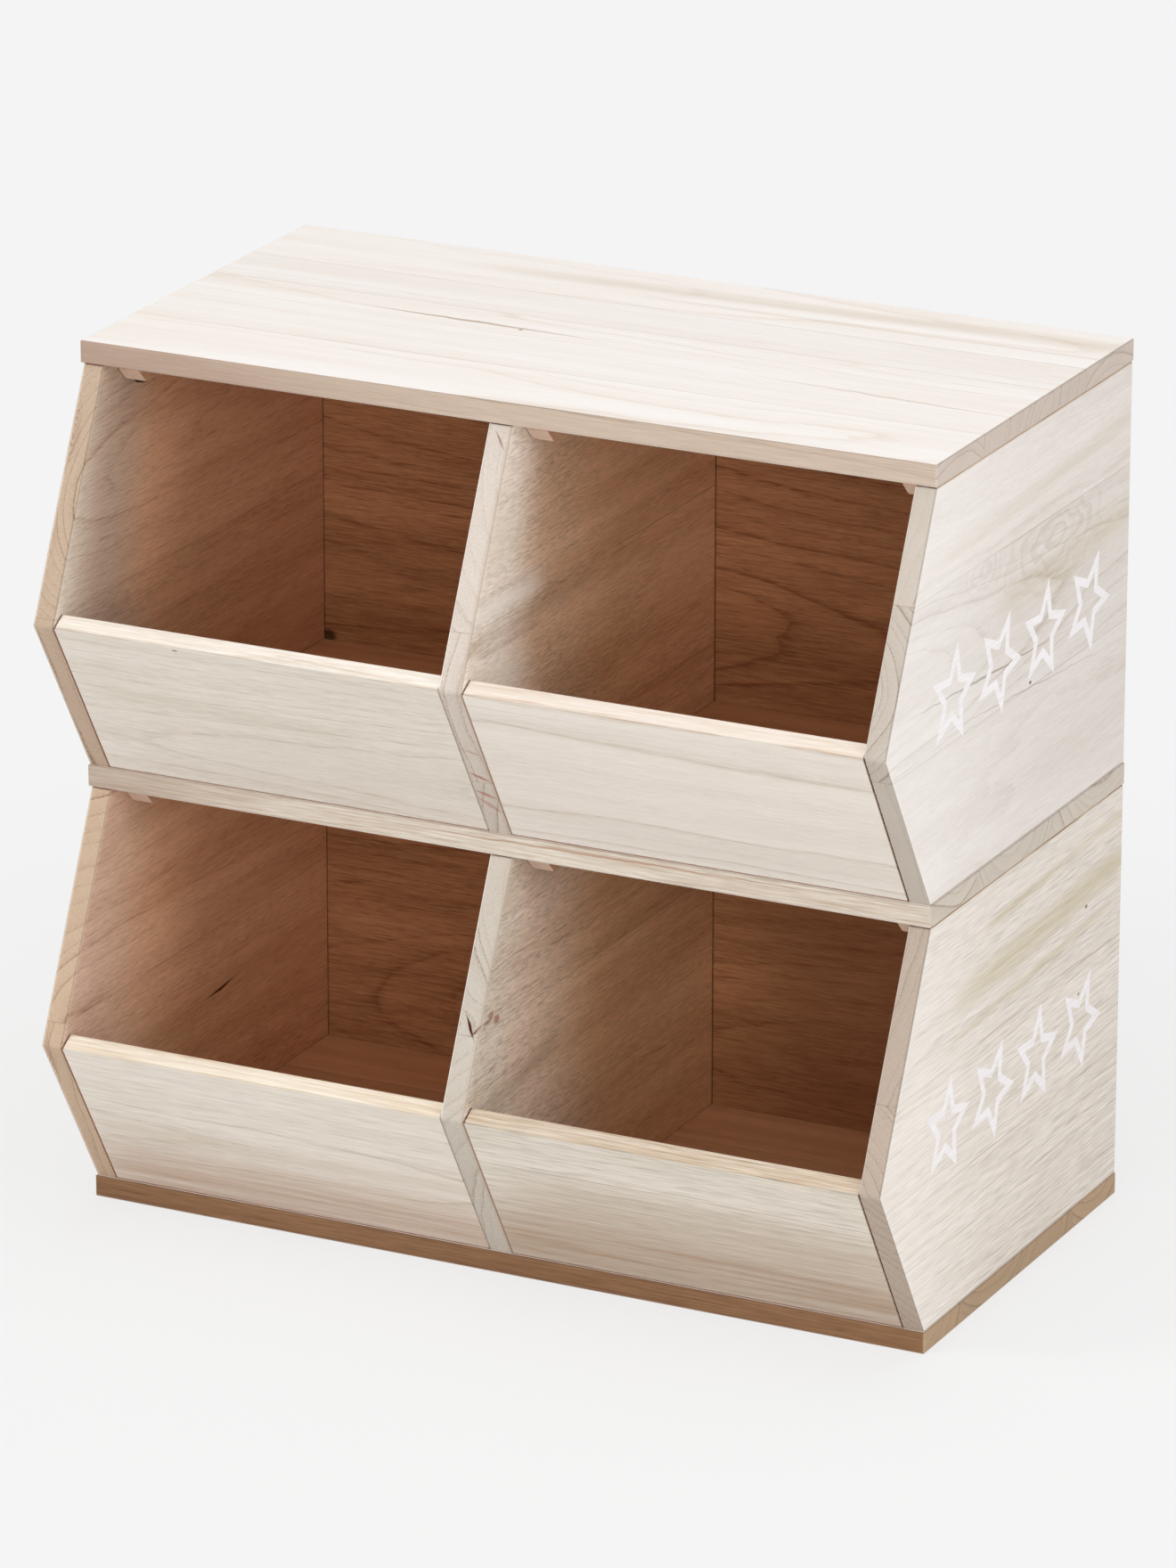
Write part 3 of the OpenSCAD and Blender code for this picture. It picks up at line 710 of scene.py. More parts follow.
DIVIDERS = {
    "upper_divider": {
        "tones": {"face": ("#F3EAE0", "#CFBCA2"), "end": ("#D1C6BD", "#A08D76"),
                  "mouth": ("#DBBA9C", "#B08C6C"), "inside": ("#F9D4AF", "#CB9970")},
        "staves": [stave(-100, -20, 120, 10, 41, tint=0.96),
                   stave(42, 90, 160, 11, 42, lean=0.03, vivid=0.7),
                   stave(150, 260, 90, 12, 43, vivid=0.4)],
        "marks": [stain(140, 20, -220, 20, strength=0.36, colour="#96806E"),
                  stain(132, 10, -170, -70, strength=0.34, colour="#84705E"),
                  stain(168, 8, -220, -70, strength=0.25, colour="#A8947E"),
                  # Painted light: pale patches near the front edge, where the lamps reach into the
                  # cell's mouth
                  stain(157, 34, -235, -60, strength=0.9, colour="#F8F2E9"),
                  stain(112, 40, -240, -80, strength=0.6, colour="#EDE3D4"),
                  stain(205, 80, -215, -95, strength=0.6, colour="#EDE3D2"),
                  *[on_edge(crack(z, w, -12, 12, slope, strength, "#A86E5A", 0.0, 1.5))
                    for z, w, slope, strength in (
                        (66.6, 1.4, -0.34, 0.4), (46.1, 1.8, -0.44, 0.8),
                        (31.8, 2.2, -0.38, 0.7), (23.2, 3.0, -0.72, 0.5))],
                  on_edge(crack(263.7, 1.8, -4, 7.5, -1.3, 0.7, "#8A6054", 0.1, 1.0))],
    },
    "lower_divider": {
        "tones": {"face": ("#DFD4C7", "#B7A286"), "end": ("#C7BFB4", "#968672"),
                  "mouth": ("#E5CDB8", "#B89C84"), "inside": ("#F2CEA6", "#C5946B")},
        "staves": [stave(-100, 0, 130, 9, 44, vivid=0.8),
                   stave(165, 260, 80, 8, 45, tint=0.98)],
        "marks": [stain(140, 30, -190, -40, slope=0.2, strength=0.5, colour="#A08A70"),
                  on_edge(crack(171.5, 2.9, -4.8, 6.4, -1.66, 1.0, "#4A1C10", 0.3, 0.6)),
                  on_edge(crack(162.1, 2.2, 1.2, 11, 1.13, 0.9, "#6E3A2A", 0.2, 0.6)),
                  crack(171.4, 2.0, -163, -143, 0.0, 0.7, "#8A5A4A", 0.1, 2.0),
                  crack(182, 1.4, -158, -138, 0.3, 0.5, "#8A5A4A", 0.1, 3.0),
                  knot(-140, 169.5, 4.6, 3.4, 0.8, "#A0705E"),
                  knot(-148, 174.5, 4.2, 3.4, 0.7, "#A0705E")],
    },
}


class SHELF_OT_dress_dividers(bpy.types.Operator):
    """Dividers: fuzzy from the saw, paler and greyer at their front edges than the sides"""
    bl_idname = "shelf.dress_dividers"
    bl_label = "Dress Dividers"

    def execute(self, context):
        cells = {"upper_divider": (42.0, 105.0), "lower_divider": (28.0, 88.0)}
        swells = {"lower_divider": [(-145.0, 174.0, 16.0, 14.0)]}
        # Painted shade lines where the boards meet, a painted shade strip down the right of the
        # front edge, and a painted highlight down its left arris, which faces the key lamp
        painted_light_lines = [*upright_shade_lines(-HALF_DIVIDER, HALF_DIVIDER),
                 painted_light_line(HALF_DIVIDER, 3.4, 0.4, "#BFAC9A", "Z", kind="end"),
                 painted_light_line(-HALF_DIVIDER, 1.3, 0.6, "#F8F4F0", "Z", kind="end")]
        for node, board in DIVIDERS.items():
            dress_board(node, "sawn", (Y, Z, X), board, SAWN, painted_light_lines=painted_light_lines, cell=cells[node],
                        swells=swells.get(node, ()), deep=190.0)
        return {"FINISHED"}


FRONTS = {
    "lower_left_front": {
        "tones": {"face": ("#E5DDD4", "#C6BBAA"), "edge": ("#F3EBDD", "#D8C3A8")},
        "figure": {"fibre": 0.26, "pores": 0.14, "short": 0.4},
        "staves": [stave(-50, 60, -50, 8, 51, lean=0.03)],
        # A broad brown band low on the front: it darkens towards the bottom
        "marks": [stain(16, 90, -330, 60, strength=0.85, colour="#B4937A"),
                  stain(60, 24, -330, 60, strength=0.4, colour="#B9A48A")],
    },
    "lower_right_front": {
        "tones": {"face": ("#DDD5CB", "#BEB4A1"), "edge": ("#DACEBF", "#BFA88E")},
        "figure": {"fibre": 0.3, "pores": 0.26, "short": 0.4},
        "staves": [stave(-50, -40, -60, 8, 52), stave(96, 160, -40, 7, 53)],
        # A broad brown band low on the front: it darkens towards the bottom
        "marks": [stain(22, 120, -60, 360, strength=1.0, colour="#A98D74"),
                  stain(70, 70, 0, 360, strength=0.6, colour="#B09A82")],
    },
    "upper_left_front": {
        "tones": {"face": ("#E1D9D0", "#C2B7A5"), "edge": ("#EDE8E0", "#D3C3B1")},
        "staves": [stave(-50, 40, -45, 8, 54, lean=-0.03)],
        "marks": [stain(70, 22, -290, -60, slope=-0.03, strength=0.35, colour="#B9B29A"),
                  knot(-196.5, 132, 2.2, 1.0, strength=0.7)],
    },
    "upper_right_front": {
        "tones": {"face": ("#E5DDD5", "#C7BCAB"), "edge": ("#E6DDD3", "#CCB39B")},
        "figure": {"rings": 0.48, "fibre": 0.13, "pores": 0.06},
        "staves": [stave(-50, 70, -80, 8, 55)],
    },
}


class SHELF_OT_dress_fronts(bpy.types.Operator):
    """Slanted front boards: the best boards, with the grain from left to right"""
    bl_idname = "shelf.dress_fronts"
    bl_label = "Dress Fronts"

    def execute(self, context):
        slope = Vector((0, NOSE[0] - FOOT[0], NOSE[1] - FOOT[1])).normalized()
        into = X.cross(slope)
        for node, board in FRONTS.items():
            # Painted shade lines along the foot and at the left end, where the front closes up
            # against the next boards
            painted_light_lines = [painted_light_line(0.0, 1.5, 0.8, "#8C6050"),
                     painted_light_line(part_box(node)[0].x / MM, 1.4, 0.9, "#4A2A1C", "X", kind="edge")]
            dress_board(node, "bleached", (X, slope, into), board, front=FOOT[0], painted_light_lines=painted_light_lines)
        return {"FINISHED"}


BACKS = {
    "lower_back_board": {
        "staves": [stave(-50, 40, 60, 9, 61, lean=0.10),
                   stave(120, 190, 55, 10, 62, lean=-0.06)],
        "marks": [wash(0, 90, "#7A4828", 0.5)],
    },
    "upper_back_board": {
        "staves": [stave(-50, 50, 55, 9, 63, lean=-0.10),
                   stave(130, 200, 60, 11, 64, lean=0.08)],
        # A small, very dark blotch low in the left corner of the upper left cell's back
        "marks": [wash(0, 90, "#7A4828", 0.2), knot(-281, 3, 7, 5, colour="#2A150C")],
    },
}


class SHELF_OT_dress_backs(bpy.types.Operator):
    """Back boards: left unbleached, with arches of plain-sawn grain"""
    bl_idname = "shelf.dress_backs"
    bl_label = "Dress Backs"

    def execute(self, context):
        tones = {"face": ("#D9BF9F", "#B08C67"), "mouth": ("#C3916E", "#9C6542"),
                 "inside": ("#CA9569", "#925E3A")}
        # Painted shade in the inside corners, where the sides and dividers meet the back
        corner_shade_lines = [painted_light_line(x, 1.0, 0.7, "#3B2418", "X")
                        for x in (-SIDE_IN, -HALF_DIVIDER, HALF_DIVIDER, SIDE_IN)]
        for node, board in BACKS.items():
            marks = [(mask, colour, pit, "inside")
                     for mask, colour, pit, _ in (*corner_shade_lines, *board["marks"])]
            dress_board(node, "sanded", (X, Z, -Y), {**board, "tones": tones, "marks": marks},
                        {**SAWN, "calm": 0.0, "fibre": 0.46, "rings": 0.5}, front=BACK_IN)
        return {"FINISHED"}


class SHELF_OT_dress_blocks(bpy.types.Operator):
    """Locating blocks and dowels: offcuts of tan wood, left as sawn or turned"""
    bl_idname = "shelf.dress_blocks"
    bl_label = "Dress Blocks"

    def execute(self, context):
        parts = [stave(-700, 40, 60, 5, 71)]
        corner = Vector((0, 0, 0))
        block = wood("sawn_paulownia_block", (corner, Y, X, Z), parts,
                     tones={kind: ("#D3A786", "#AF815E") for kind in TONES})
        dowel = wood("turned_beech_dowel", (corner, X, Y, Z), parts, rough=0.5,
                     tones={kind: ("#D9B98C", "#B08C5E") for kind in TONES})
        for node in frame["nodes"]:
            if "_block_" in node and not node.endswith("screws"):
                dress(node, block)
            if node.endswith("dowels"):
                dress(node, dowel)
        return {"FINISHED"}


# Fittings

def steel(name, colour, dark, rough, pitch):
    """Plated steel, barrel tumbled: fine scratches all ways and a slightly cloudy shine.

    pitch is the scratches' spacing in millimetres, wider than the real one so that they show.
    """
    material, tree, where = new_material(name)
    scratches = add(tree, "TexNoise", {"Vector": where["Object"], "Scale": 1 / (pitch * MM),
                                       "Detail": 4.0})
    tone = add(tree, "Mix RGBA", {"Factor": scratches, "A": linear(colour), "B": linear(dark)})
    gloss = add(tree, "MapRange", {"Value": scratches, "To Min": rough - 0.08,
                                   "To Max": rough + 0.12})
    bump = add(tree, "Bump", {"Height": scratches, "Distance": 0.01 * MM})
    surface = add(tree, "BsdfPrincipled", {"Base Color": tone, "Metallic": 1.0,
                                           "Roughness": gloss, "Normal": bump})
    add(tree, "OutputMaterial", {"Surface": surface})
    return material


def into_scene(name, data):
    """A new object at the origin, with this mesh, lamp or camera as its data."""
    obj = bpy.data.objects.new(name, data)
    bpy.context.scene.collection.objects.link(obj)
    return obj


def mesh_of(obj):
    """The mesh that an object's modifiers make."""
    evaluated = obj.evaluated_get(bpy.context.evaluated_depsgraph_get())
    return bpy.data.meshes.new_from_object(evaluated)


def finished(mesh, name):
    """Turns an edit mesh into mesh data and frees it."""
    data = bpy.data.meshes.new(name)
    mesh.to_mesh(data)
    mesh.free()
    return data


def closed_mesh(name, rings, poles):
    """A closed mesh through rings of points, with a single point at each end."""
    mesh = bmesh.new()
    rows = [[mesh.verts.new(p) for p in ring] for ring in rings]
    for a, b in zip(rows, rows[1:]):
        for i in range(len(a)):
            j = (i + 1) % len(a)
            mesh.faces.new((a[i], a[j], b[j], b[i]))
    for pole, row in zip(poles, (rows[0], rows[-1])):
        tip = mesh.verts.new(pole)
        for i in range(len(row)):
            mesh.faces.new((tip, row[i], row[(i + 1) % len(row)]))
    bmesh.ops.recalc_face_normals(mesh, faces=mesh.faces)
    return finished(mesh, name)


def screw_mesh(name, head, shank_d, length, pitch, recess):
    """A wood screw, head down: head is a list of radius and height, and the thread is a helix.

    recess is the cross recess's span, the width of its slots, and its depth.
    """
    around, steps = 16, 4
    crest, root = shank_d / 2, shank_d / 2 * 0.72
    turn = [2 * math.pi * i / around for i in range(around)]

    def ring(radii, z):
        """A ring of points at height z, with one radius for each turn."""
        return [Vector((r * math.cos(a), r * math.sin(a), z)) * MM for r, a in zip(radii, turn)]

    def thread_r(z, a):
        """Radius of the thread at this height and turn: a narrow crest over the root."""
        phase = (z / pitch - a / (2 * math.pi)) % 1.0
        return root + (crest - root) * max(0.0, 1 - 3 * min(phase, 1 - phase))

    rings = [ring([r] * around, z) for r, z in head]
    start = head[-1][1] + pitch
    for k in range(int((length - shank_d - start) / pitch * steps)):
        z = start + k * pitch / steps
        rings.append(ring([thread_r(z, a) for a in turn], z))
    rings.append(ring([root * 0.5] * around, length - shank_d * 0.5))
    poles = (Vector((0, 0, head[0][1])) * MM, Vector((0, 0, length)) * MM)
    body = into_scene(name, closed_mesh(name, rings, poles))

    cross = bmesh.new()
    span, blade, deep = recess
    for turned in (0, math.pi / 2):
        made = bmesh.ops.create_cube(cross, size=1.0)["verts"]
        for v in made:
            narrow, thin = (1.0, 1.0) if v.co.z < 0 else (0.45, 0.8)
            v.co = Vector((v.co.x * span * narrow, v.co.y * blade * thin,
                           (v.co.z + 0.5) * (deep + 1) - 1 + head[0][1]))
        bmesh.ops.rotate(cross, verts=made, matrix=Matrix.Rotation(turned, 3, "Z"))
    bmesh.ops.scale(cross, verts=cross.verts, vec=(MM, MM, MM))
    cutter = into_scene(name + "_recess", finished(cross, name + "_recess"))
    modifier = body.modifiers.new("recess", "BOOLEAN")
    modifier.operation = "DIFFERENCE"
    modifier.solver = "EXACT"
    modifier.use_self = True
    modifier.object = cutter
    result = mesh_of(body)
    bpy.data.objects.remove(body)
    bpy.data.objects.remove(cutter)
    return result


def placing_tree(name, sockets):
    """An empty geometry node tree with its geometry in and out and the named inputs."""
    tree = bpy.data.node_groups.new(name, "GeometryNodeTree")
    tree.interface.new_socket("Geometry", in_out="INPUT", socket_type="NodeSocketGeometry")
    for socket, kind in sockets.items():
        tree.interface.new_socket(socket, in_out="INPUT", socket_type="NodeSocket" + kind)
    tree.interface.new_socket("Geometry", in_out="OUTPUT", socket_type="NodeSocketGeometry")
    return tree, add(tree, "NodeGroupInput").outputs


def set_on_points(tree, given, form, turned):
    """Ends a tree: sets the form on every point, turned, and gives it the material."""
    placed = add(tree, "GeometryNodeInstanceOnPoints", {"Points": given["Geometry"],
                                                        "Instance": form, "Rotation": turned})
    real = add(tree, "GeometryNodeRealizeInstances", (placed,))
    painted = add(tree, "GeometryNodeSetMaterial", {"Geometry": real,
                                                    "Material": given["Material"]})
    add(tree, "NodeGroupOutput", (painted,))
    return tree


def grown(name, tree, values, points):
    """The mesh that a tree makes on these points, as a new plain object at the origin."""
    seeds = bpy.data.meshes.new(name + "_points")
    seeds.from_pydata(points, [], [])
    carrier = into_scene(name + "_carrier", seeds)
    modifier = carrier.modifiers.new("nodes", "NODES")
    modifier.node_group = tree
    ids = {item.name: item.identifier for item in tree.interface.items_tree
           if item.in_out == "INPUT"}
    for key, value in values.items():
        modifier[ids[key]] = value
    mesh = mesh_of(carrier)
    bpy.data.objects.remove(carrier)
    if not mesh.polygons:
        raise RuntimeError(name + " came out empty")
    mesh.name = name
    return into_scene(name, mesh)


def screws_tree():
    """Sets one screw on each point, each turned by chance as a driver leaves it."""
    tree, given = placing_tree("driven_screws", {"Screw": "Object", "Material": "Material",
                                                 "Seed": "Int"})
    screw = add(tree, "GeometryNodeObjectInfo", {"Object": given["Screw"]})
    turn = add(tree, "FunctionNodeRandomValue", {2: 0.0, 3: math.tau, "Seed": given["Seed"]},
               data_type="FLOAT")
    turned = add(tree, "CombineXYZ", {"Z": turn})
    return set_on_points(tree, given, screw.outputs["Geometry"], turned)


class SHELF_OT_make_screws(bpy.types.Operator):
    """Cross-head screws of the base boards and of the locating blocks"""
    bl_idname = "shelf.make_screws"
    bl_label = "Make Screws"

    def execute(self, context):
        sizes = context.scene.shelf_screws
        tree = screws_tree()
        zinc = steel("zinc_plated_steel", "#A9ACB0", "#7F8286", 0.38, 0.6)
        dark = steel("bronzed_steel", "#4A4038", "#2C2520", 0.42, 0.6)
        shank = sizes.shank / MM
        sunk_r = shank / 2 + 2.0
        sunk = [(sunk_r, 0.0), (sunk_r, 0.5), (2.0, 2.5)]
        block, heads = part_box("lid_block_front_left"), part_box("lid_block_screws")
        pan_h = (block[0].z - heads[0].z) / MM
        pan_r = ((block[0].x + block[1].x) / 2 - heads[0].x) / MM
        rim_r, facets = 1.0, 5
        pan = [(pan_r - rim_r + rim_r * math.sin(turn), rim_r - rim_r * math.cos(turn) - pan_h)
               for turn in (math.pi / 2 * k / facets for k in range(facets + 1))]
        pan += [(pan_r, 0.0), (1.75, 0.0)]
        low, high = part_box("lower_base_screws")
        reach = sunk_r * MM
        base_spots = [(x, y) for x in (low.x + reach, 0.0, high.x - reach)
                      for y in (low.y + reach, (low.y + high.y) / 2, high.y - reach)]
        block_spots = []
        for row in ("front", "back"):
            for place in ("left", "middle", "right"):
                corner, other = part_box(f"lid_block_{row}_{place}")
                block_spots.append(((corner.x + other.x) / 2, (corner.y + other.y) / 2))
        kinds = {
            "base": (sunk, shank, 45.0, 1.8, (4.2, 0.9, 2.0), zinc, "zinc_steel", base_spots),
            "block": (pan, 3.5, 25.0, 1.4, (4.0, 0.9, 1.4), dark, "dark_steel", block_spots),
        }
        for kind, (head, width, length, pitch, recess, finish, slot, spots) in kinds.items():
            mesh = screw_mesh(kind + "_screw_form", head, width, length, pitch, recess)
            form = into_scene(kind + "_screw_form", mesh)
            for level in (LEVELS if kind == "base" else ("upper", "lid")):
                node = f"{level}_{kind}_screws"
                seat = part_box(node)[0].z
                points = [(x, y, seat) for x, y in spots]
                if kind == "block":
                    seat += pan_h * MM
                    # The photograph shows only the lid's front left head, so the rest are sunk
                    points = [(x, y, seat + (0.0 if level == "lid" and k == 0 else sizes.sunk))
                              for k, (x, y) in enumerate(spots)]
                piece = grown(node + "_driven", tree, {"Screw": form, "Material": finish,
                                                       "Seed": sizes.seed}, points)
                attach(piece, frame["nodes"][node]["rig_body"])
                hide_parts(node)
            bpy.data.objects.remove(form)
        pins = steel("zinc_plated_pin", "#B4B7BA", "#8E9194", 0.35, 0.5)
        for level in LEVELS:
            dress(level + "_back_pins", pins)
        return {"FINISHED"}


# Print

def ink():
    """White screen-printed ink, one thin coat: matt, and the wood's fibres still show in it.

    The fibres come through about every millimetre and run for 33, from front to back.
    """
    material, tree, where = new_material("screen_printed_white_ink")
    fibres = add(tree, "Mapping", {"Vector": where["Object"],
                                   "Scale": (0.9 / MM, 0.03 / MM, 0.6 / MM)})
    grains = add(tree, "TexNoise", {"Vector": fibres, "Scale": 1.0, "Detail": 3.0})
    thin = add(tree, "MapRange", {"Value": grains, "From Min": 0.4, "From Max": 0.75})
    tone = add(tree, "Mix RGBA", {"Factor": thin, "A": linear("#EDE9EB"), "B": linear("#E3DCDB")})
    bump = add(tree, "Bump", {"Height": grains, "Distance": 0.03 * MM})
    surface = add(tree, "BsdfPrincipled", {"Base Color": tone,
                                           "Roughness": 0.55, "Normal": bump, "IOR": 1.45})
    add(tree, "OutputMaterial", {"Surface": surface})
    return material


def stars_tree():
    """A row of outlined stars on the given points, lying in the side's plane."""
    notch, inset = 0.46, -1.75
    tree, given = placing_tree("row_of_stars", {
        "Radius": "Float", "Stroke": "Float", "Coat": "Float", "Tilt": "Float",
        "Material": "Material",
    })
    hole_r = add(tree, "Math MULTIPLY_ADD", (given["Stroke"], inset, given["Radius"]))
    both = add(tree, "GeometryNodeJoinGeometry")
    for outer in (given["Radius"], hole_r):
        inner = add(tree, "Math MULTIPLY", (outer, notch))
        star = add(tree, "GeometryNodeCurveStar", {"Points": 5, "Inner Radius": inner,
                                                   "Outer Radius": outer})
        tree.links.new(star.outputs["Curve"], both.inputs[0])
    filled = add(tree, "GeometryNodeFillCurve", {"Curve": both}, mode="NGONS")
    solid = add(tree, "GeometryNodeExtrudeMesh", {"Mesh": filled, "Offset Scale": given["Coat"],
                                                  "Individual": False})
    back = add(tree, "GeometryNodeFlipFaces", {"Mesh": filled})
    shut = add(tree, "GeometryNodeJoinGeometry")
    for half in (solid, back):
        tree.links.new(half.outputs["Mesh"], shut.inputs[0])
    welded = add(tree, "GeometryNodeMergeByDistance", {"Geometry": shut, "Distance": 0.01 * MM})
    odd = add(tree, "Math MODULO", (add(tree, "GeometryNodeInputIndex"), 2.0))
    swing = add(tree, "Math MULTIPLY_ADD", (odd, 2.0, -1.0))
    tilt = add(tree, "Math MULTIPLY", (swing, given["Tilt"]))
    turned = add(tree, "CombineXYZ", (math.pi / 2, tilt, math.pi / 2))
    return set_on_points(tree, given, welded, turned)


class SHELF_OT_make_print(bpy.types.Operator):
    """White stars printed in a row on each right side"""
    bl_idname = "shelf.make_print"
    bl_label = "Make Print"

    def execute(self, context):
        sizes = context.scene.shelf_print
        tree = stars_tree()
        finish = ink()
        for level in LEVELS:
            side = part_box(level + "_right_side")
            first = sizes.middle - sizes.spacing * (sizes.count - 1) / 2
            points = [(side[1].x, first + sizes.spacing * k, side[0].z + sizes.height)
                      for k in range(sizes.count)]
            piece = grown(level + "_side_stars", tree, {
                "Radius": sizes.radius, "Stroke": sizes.stroke, "Coat": sizes.coat,
                "Tilt": sizes.tilt, "Material": finish,
            }, points)
            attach(piece, level + "_bin")
        return {"FINISHED"}


# Stage

def seen_directly(tree):
    """1 for rays that show a thing to the camera, or in a reflection, and 0 for those of light."""
    ray = add(tree, "LightPath").outputs
    seen = add(tree, "Math MAXIMUM", (ray["Is Camera Ray"], ray["Is Glossy Ray"]))
    return add(tree, "Math MAXIMUM", (seen, ray["Is Transmission Ray"]))


def floor_material(clear, full, glow):
    """Pale seamless paper: it shows its plain colour and, near the shelf, the shelf's shadow.

    The shadow is strongest up to the distance full from the middle, and gone from clear on.
    """
    material, tree, where = new_material("pale_paper_floor")
    away = add(tree, "VectorMath LENGTH", (where["Object"],))
    shadow = add(tree, "MapRange SMOOTHSTEP", {"Value": away, "From Min": clear,
                                               "From Max": full, "To Max": 0.22})
    paper = add(tree, "BsdfDiffuse", {"Color": linear("#EDEDED")})
    plain = add(tree, "Emission", {"Color": (glow, glow, glow, 1.0), "Strength": 1.0})
    shown = add(tree, "MixShader", (shadow, plain, paper))
    surface = add(tree, "MixShader", (seen_directly(tree), paper, shown))
    add(tree, "OutputMaterial", {"Surface": surface})
    return material


def softbox(name, place, aim, size, power, warmth):
    """A rectangular lamp behind cloth, turned to face its aim."""
    light = bpy.data.lights.new(name, "AREA")
    light.shape = "RECTANGLE"
    light.size, light.size_y = size
    light.energy = power
    light.color = warmth
    lamp = into_scene(name, light)
    lamp.location = place
    lamp.rotation_euler = (Vector(aim) - Vector(place)).to_track_quat("-Z", "Y").to_euler()


class SHELF_OT_set_stage(bpy.types.Operator):
    """Pale floor, soft lamps and the camera"""
    bl_idname = "shelf.set_stage"
    bl_label = "Set Stage"

    def execute(self, context):
        studio = context.scene.shelf_studio
        scene = context.scene
        disk = bmesh.new()
        bmesh.ops.create_circle(disk, cap_ends=True, segments=96, radius=14.0)
        floor = into_scene("floor", finished(disk, "floor"))
        floor.data.materials.append(floor_material(1.1, 0.35, studio.backdrop))

        world = bpy.data.worlds.new("studio")
        scene.world = world
        world.use_nodes = True
        tree = world.node_tree
        tree.nodes.clear()
        level = add(tree, "MapRange", {"Value": seen_directly(tree), "To Min": studio.ambient,
                                       "To Max": studio.backdrop})
        sky = add(tree, "Background", {"Color": (1.0, 1.0, 1.0, 1.0), "Strength": level})
        add(tree, "OutputWorld", {"Surface": sky})

        middle = (0.0, 0.0, 0.3)
        softbox("key", (-2.2, -2.6, 2.8), middle, (1.2, 1.2), studio.key, (1.0, 0.985, 0.96))
        softbox("overhead", (0.2, 0.2, 3.2), middle, (2.0, 1.6), studio.overhead, (1.0, 1.0, 1.0))
        softbox("front", (1.2, -3.0, 1.2), middle, (1.6, 1.6), studio.front, (1.0, 0.99, 0.98))
        softbox("side", (3.0, -0.9, 1.3), middle, (1.3, 1.3), studio.side, (1.0, 1.0, 1.0))

        camera = bpy.data.cameras.new("camera")
        camera.sensor_fit = "VERTICAL"
        camera.sensor_height = 36.0
        camera.lens = studio.lens
        camera.clip_end = 50.0
        shot = into_scene("camera", camera)
        away = Vector((math.cos(studio.elevation) * math.sin(studio.azimuth),
                       -math.cos(studio.elevation) * math.cos(studio.azimuth),
                       math.sin(studio.elevation)))
        turn = (-away).to_track_quat("-Z", "Y").to_matrix()
        turn = turn @ Matrix.Rotation(studio.roll, 3, "Z")
        place = Vector(studio.aim) + away * studio.distance
        shot.matrix_world = Matrix.Translation(place) @ turn.to_4x4()
        scene.camera = shot
        scene.view_settings.view_transform = "Standard"
        return {"FINISHED"}


# Settings

class ShelfScrews(bpy.types.PropertyGroup):
    shank: FloatProperty(name="Shank", description="Shank diameter of the base screws",
                         default=4.0 * MM, unit="LENGTH")
    sunk: FloatProperty(name="Sunk", description="Depth that a pan head is driven into its block",
                        default=1.6 * MM, unit="LENGTH")
    seed: IntProperty(name="Seed", description="Chooses how each cross recess is turned", default=3)


class ShelfPrint(bpy.types.PropertyGroup):
    count: IntProperty(name="Stars", description="Stars in the row", default=4)
    radius: FloatProperty(name="Radius", description="From a star's centre to its points",
                          default=35.0 * MM, unit="LENGTH")
    stroke: FloatProperty(name="Stroke", description="Width of the printed line",
                          default=8.0 * MM, unit="LENGTH")
    spacing: FloatProperty(name="Spacing", description="From star to star",
                           default=70.0 * MM, unit="LENGTH")
    middle: FloatProperty(name="Middle", description="Middle of the row, front to back",
                          default=18.0 * MM, unit="LENGTH")
    height: FloatProperty(name="Height", description="Middle of the row over the side's foot",
                          default=128.0 * MM, unit="LENGTH")
    coat: FloatProperty(name="Coat", description="Thickness of the ink",
                        default=0.08 * MM, unit="LENGTH")
    tilt: FloatProperty(name="Tilt", description="Lean of the stars, left and right in turn",
                        default=math.radians(9), subtype="ANGLE")


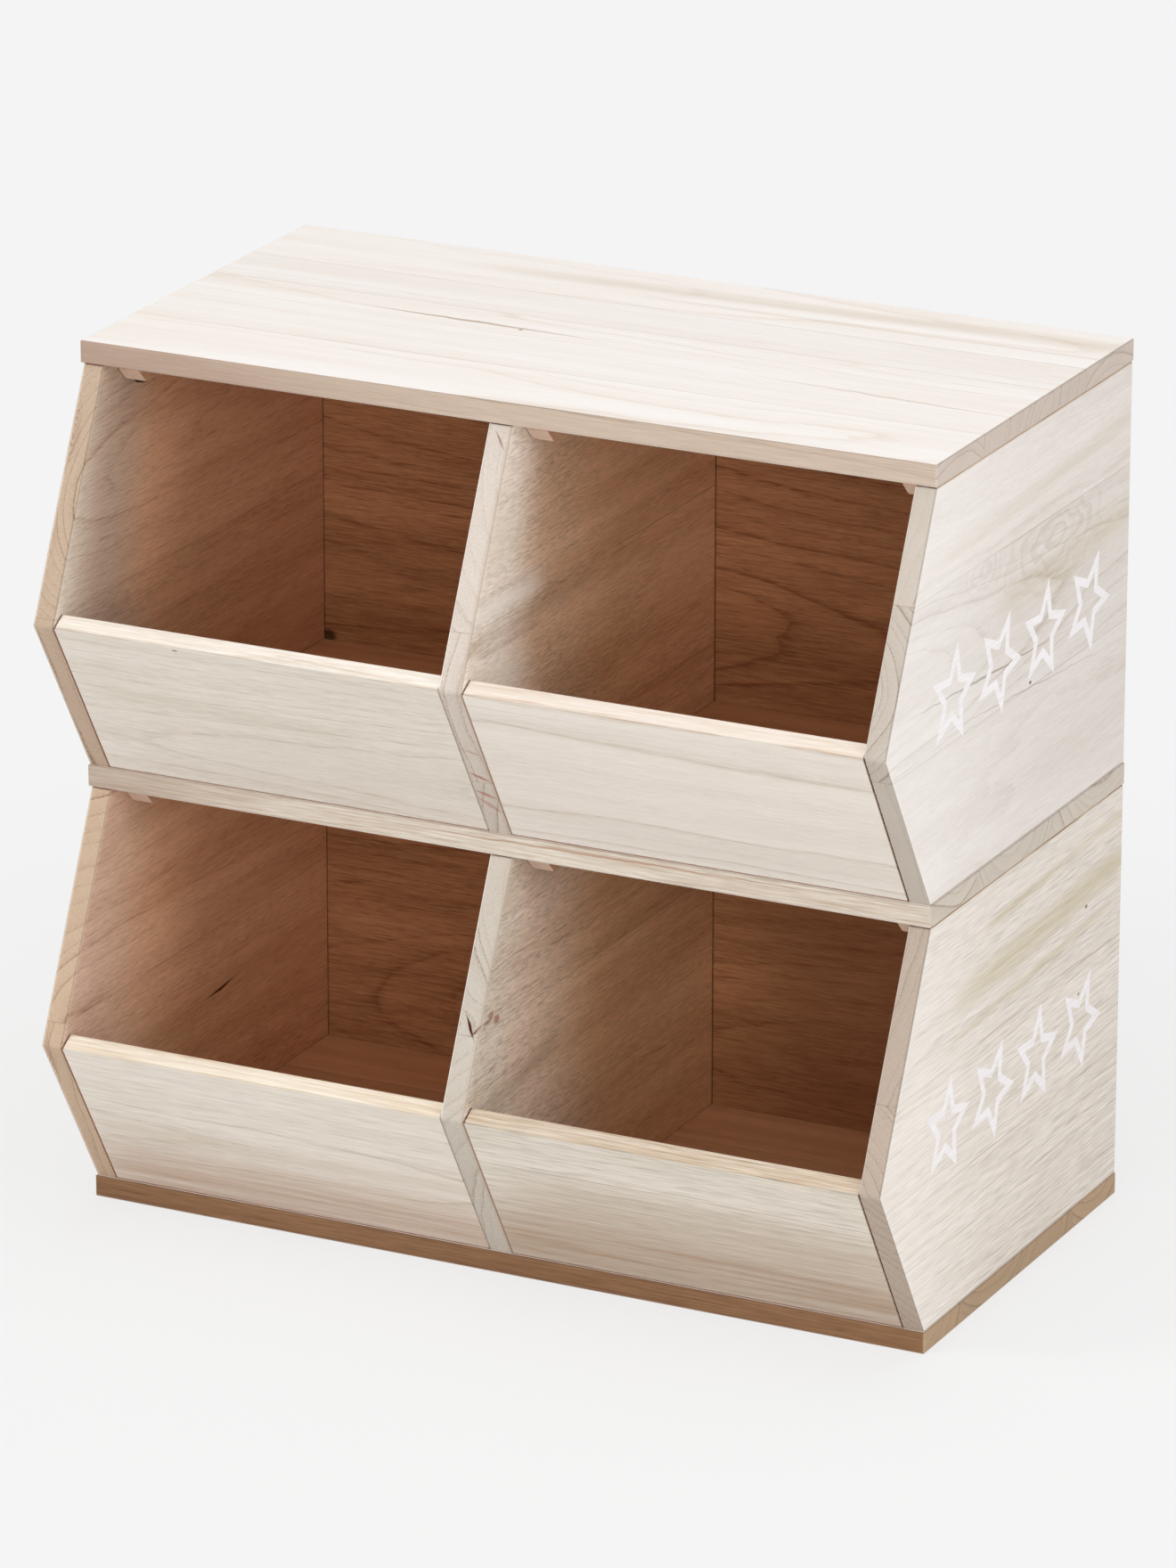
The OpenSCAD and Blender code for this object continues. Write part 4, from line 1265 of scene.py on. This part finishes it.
class ShelfStudio(bpy.types.PropertyGroup):
    ambient: FloatProperty(name="Ambient", description="Light from all round", default=0.47)
    backdrop: FloatProperty(name="Backdrop", description="Brightness of the background",
                            default=0.905)
    key: FloatProperty(name="Key", description="Front left softbox", default=55.0, unit="POWER")
    overhead: FloatProperty(name="Overhead", description="Softbox above", default=26.0,
                            unit="POWER")
    front: FloatProperty(name="Front", description="Softbox beside the camera", default=25.0,
                         unit="POWER")
    side: FloatProperty(name="Side", description="Softbox on the right", default=34.0,
                        unit="POWER")
    lens: FloatProperty(name="Lens", description="Focal length in mm, 36 mm frame height",
                        default=203.5)
    azimuth: FloatProperty(name="Azimuth", description="Camera's turn to the right of the front",
                           default=math.radians(26.411), subtype="ANGLE")
    elevation: FloatProperty(name="Elevation", description="Camera's height over the horizon",
                             default=math.radians(19.298), subtype="ANGLE")
    roll: FloatProperty(name="Roll", description="Camera's turn about its line of sight",
                        default=math.radians(0.069), subtype="ANGLE")
    distance: FloatProperty(name="Distance", description="From the camera to its aim",
                            default=5.770, unit="LENGTH")
    aim: FloatVectorProperty(name="Aim", description="Point in the middle of the picture",
                             default=(-0.0161, 0.0394, 0.2829), subtype="XYZ", unit="LENGTH")


PIECES = (SHELF_OT_dress_boards, SHELF_OT_dress_sides, SHELF_OT_dress_dividers,
          SHELF_OT_dress_fronts, SHELF_OT_dress_backs, SHELF_OT_dress_blocks,
          SHELF_OT_make_screws, SHELF_OT_make_print, SHELF_OT_set_stage)


class SHELF_PT_looks(bpy.types.Panel):
    """Lists the steps that dress the shelf"""
    bl_idname = "SHELF_PT_looks"
    bl_label = "Kids Shelf"
    bl_space_type = "VIEW_3D"
    bl_region_type = "UI"
    bl_category = "Kids Shelf"

    def draw(self, context):
        for piece in PIECES:
            self.layout.operator(piece.bl_idname)
        for group in (context.scene.shelf_screws, context.scene.shelf_print,
                      context.scene.shelf_studio):
            for name in group.bl_rna.properties.keys():
                if name not in ("rna_type", "name"):
                    self.layout.prop(group, name)


CLASSES = (ShelfScrews, ShelfPrint, ShelfStudio, *PIECES, SHELF_PT_looks)


def register():
    for made in CLASSES:
        bpy.utils.register_class(made)
    bpy.types.Scene.shelf_screws = PointerProperty(type=ShelfScrews)
    bpy.types.Scene.shelf_print = PointerProperty(type=ShelfPrint)
    bpy.types.Scene.shelf_studio = PointerProperty(type=ShelfStudio)


def unregister():
    del bpy.types.Scene.shelf_studio
    del bpy.types.Scene.shelf_print
    del bpy.types.Scene.shelf_screws
    for made in reversed(CLASSES):
        bpy.utils.unregister_class(made)


def main():
    register()
    stave_group()
    inside_group()
    bpy.ops.shelf.dress_boards()
    bpy.ops.shelf.dress_sides()
    bpy.ops.shelf.dress_dividers()
    bpy.ops.shelf.dress_fronts()
    bpy.ops.shelf.dress_backs()
    bpy.ops.shelf.dress_blocks()
    bpy.ops.shelf.make_screws()
    bpy.ops.shelf.make_print()
    bpy.ops.shelf.set_stage()


if __name__ == "__main__":
    main()
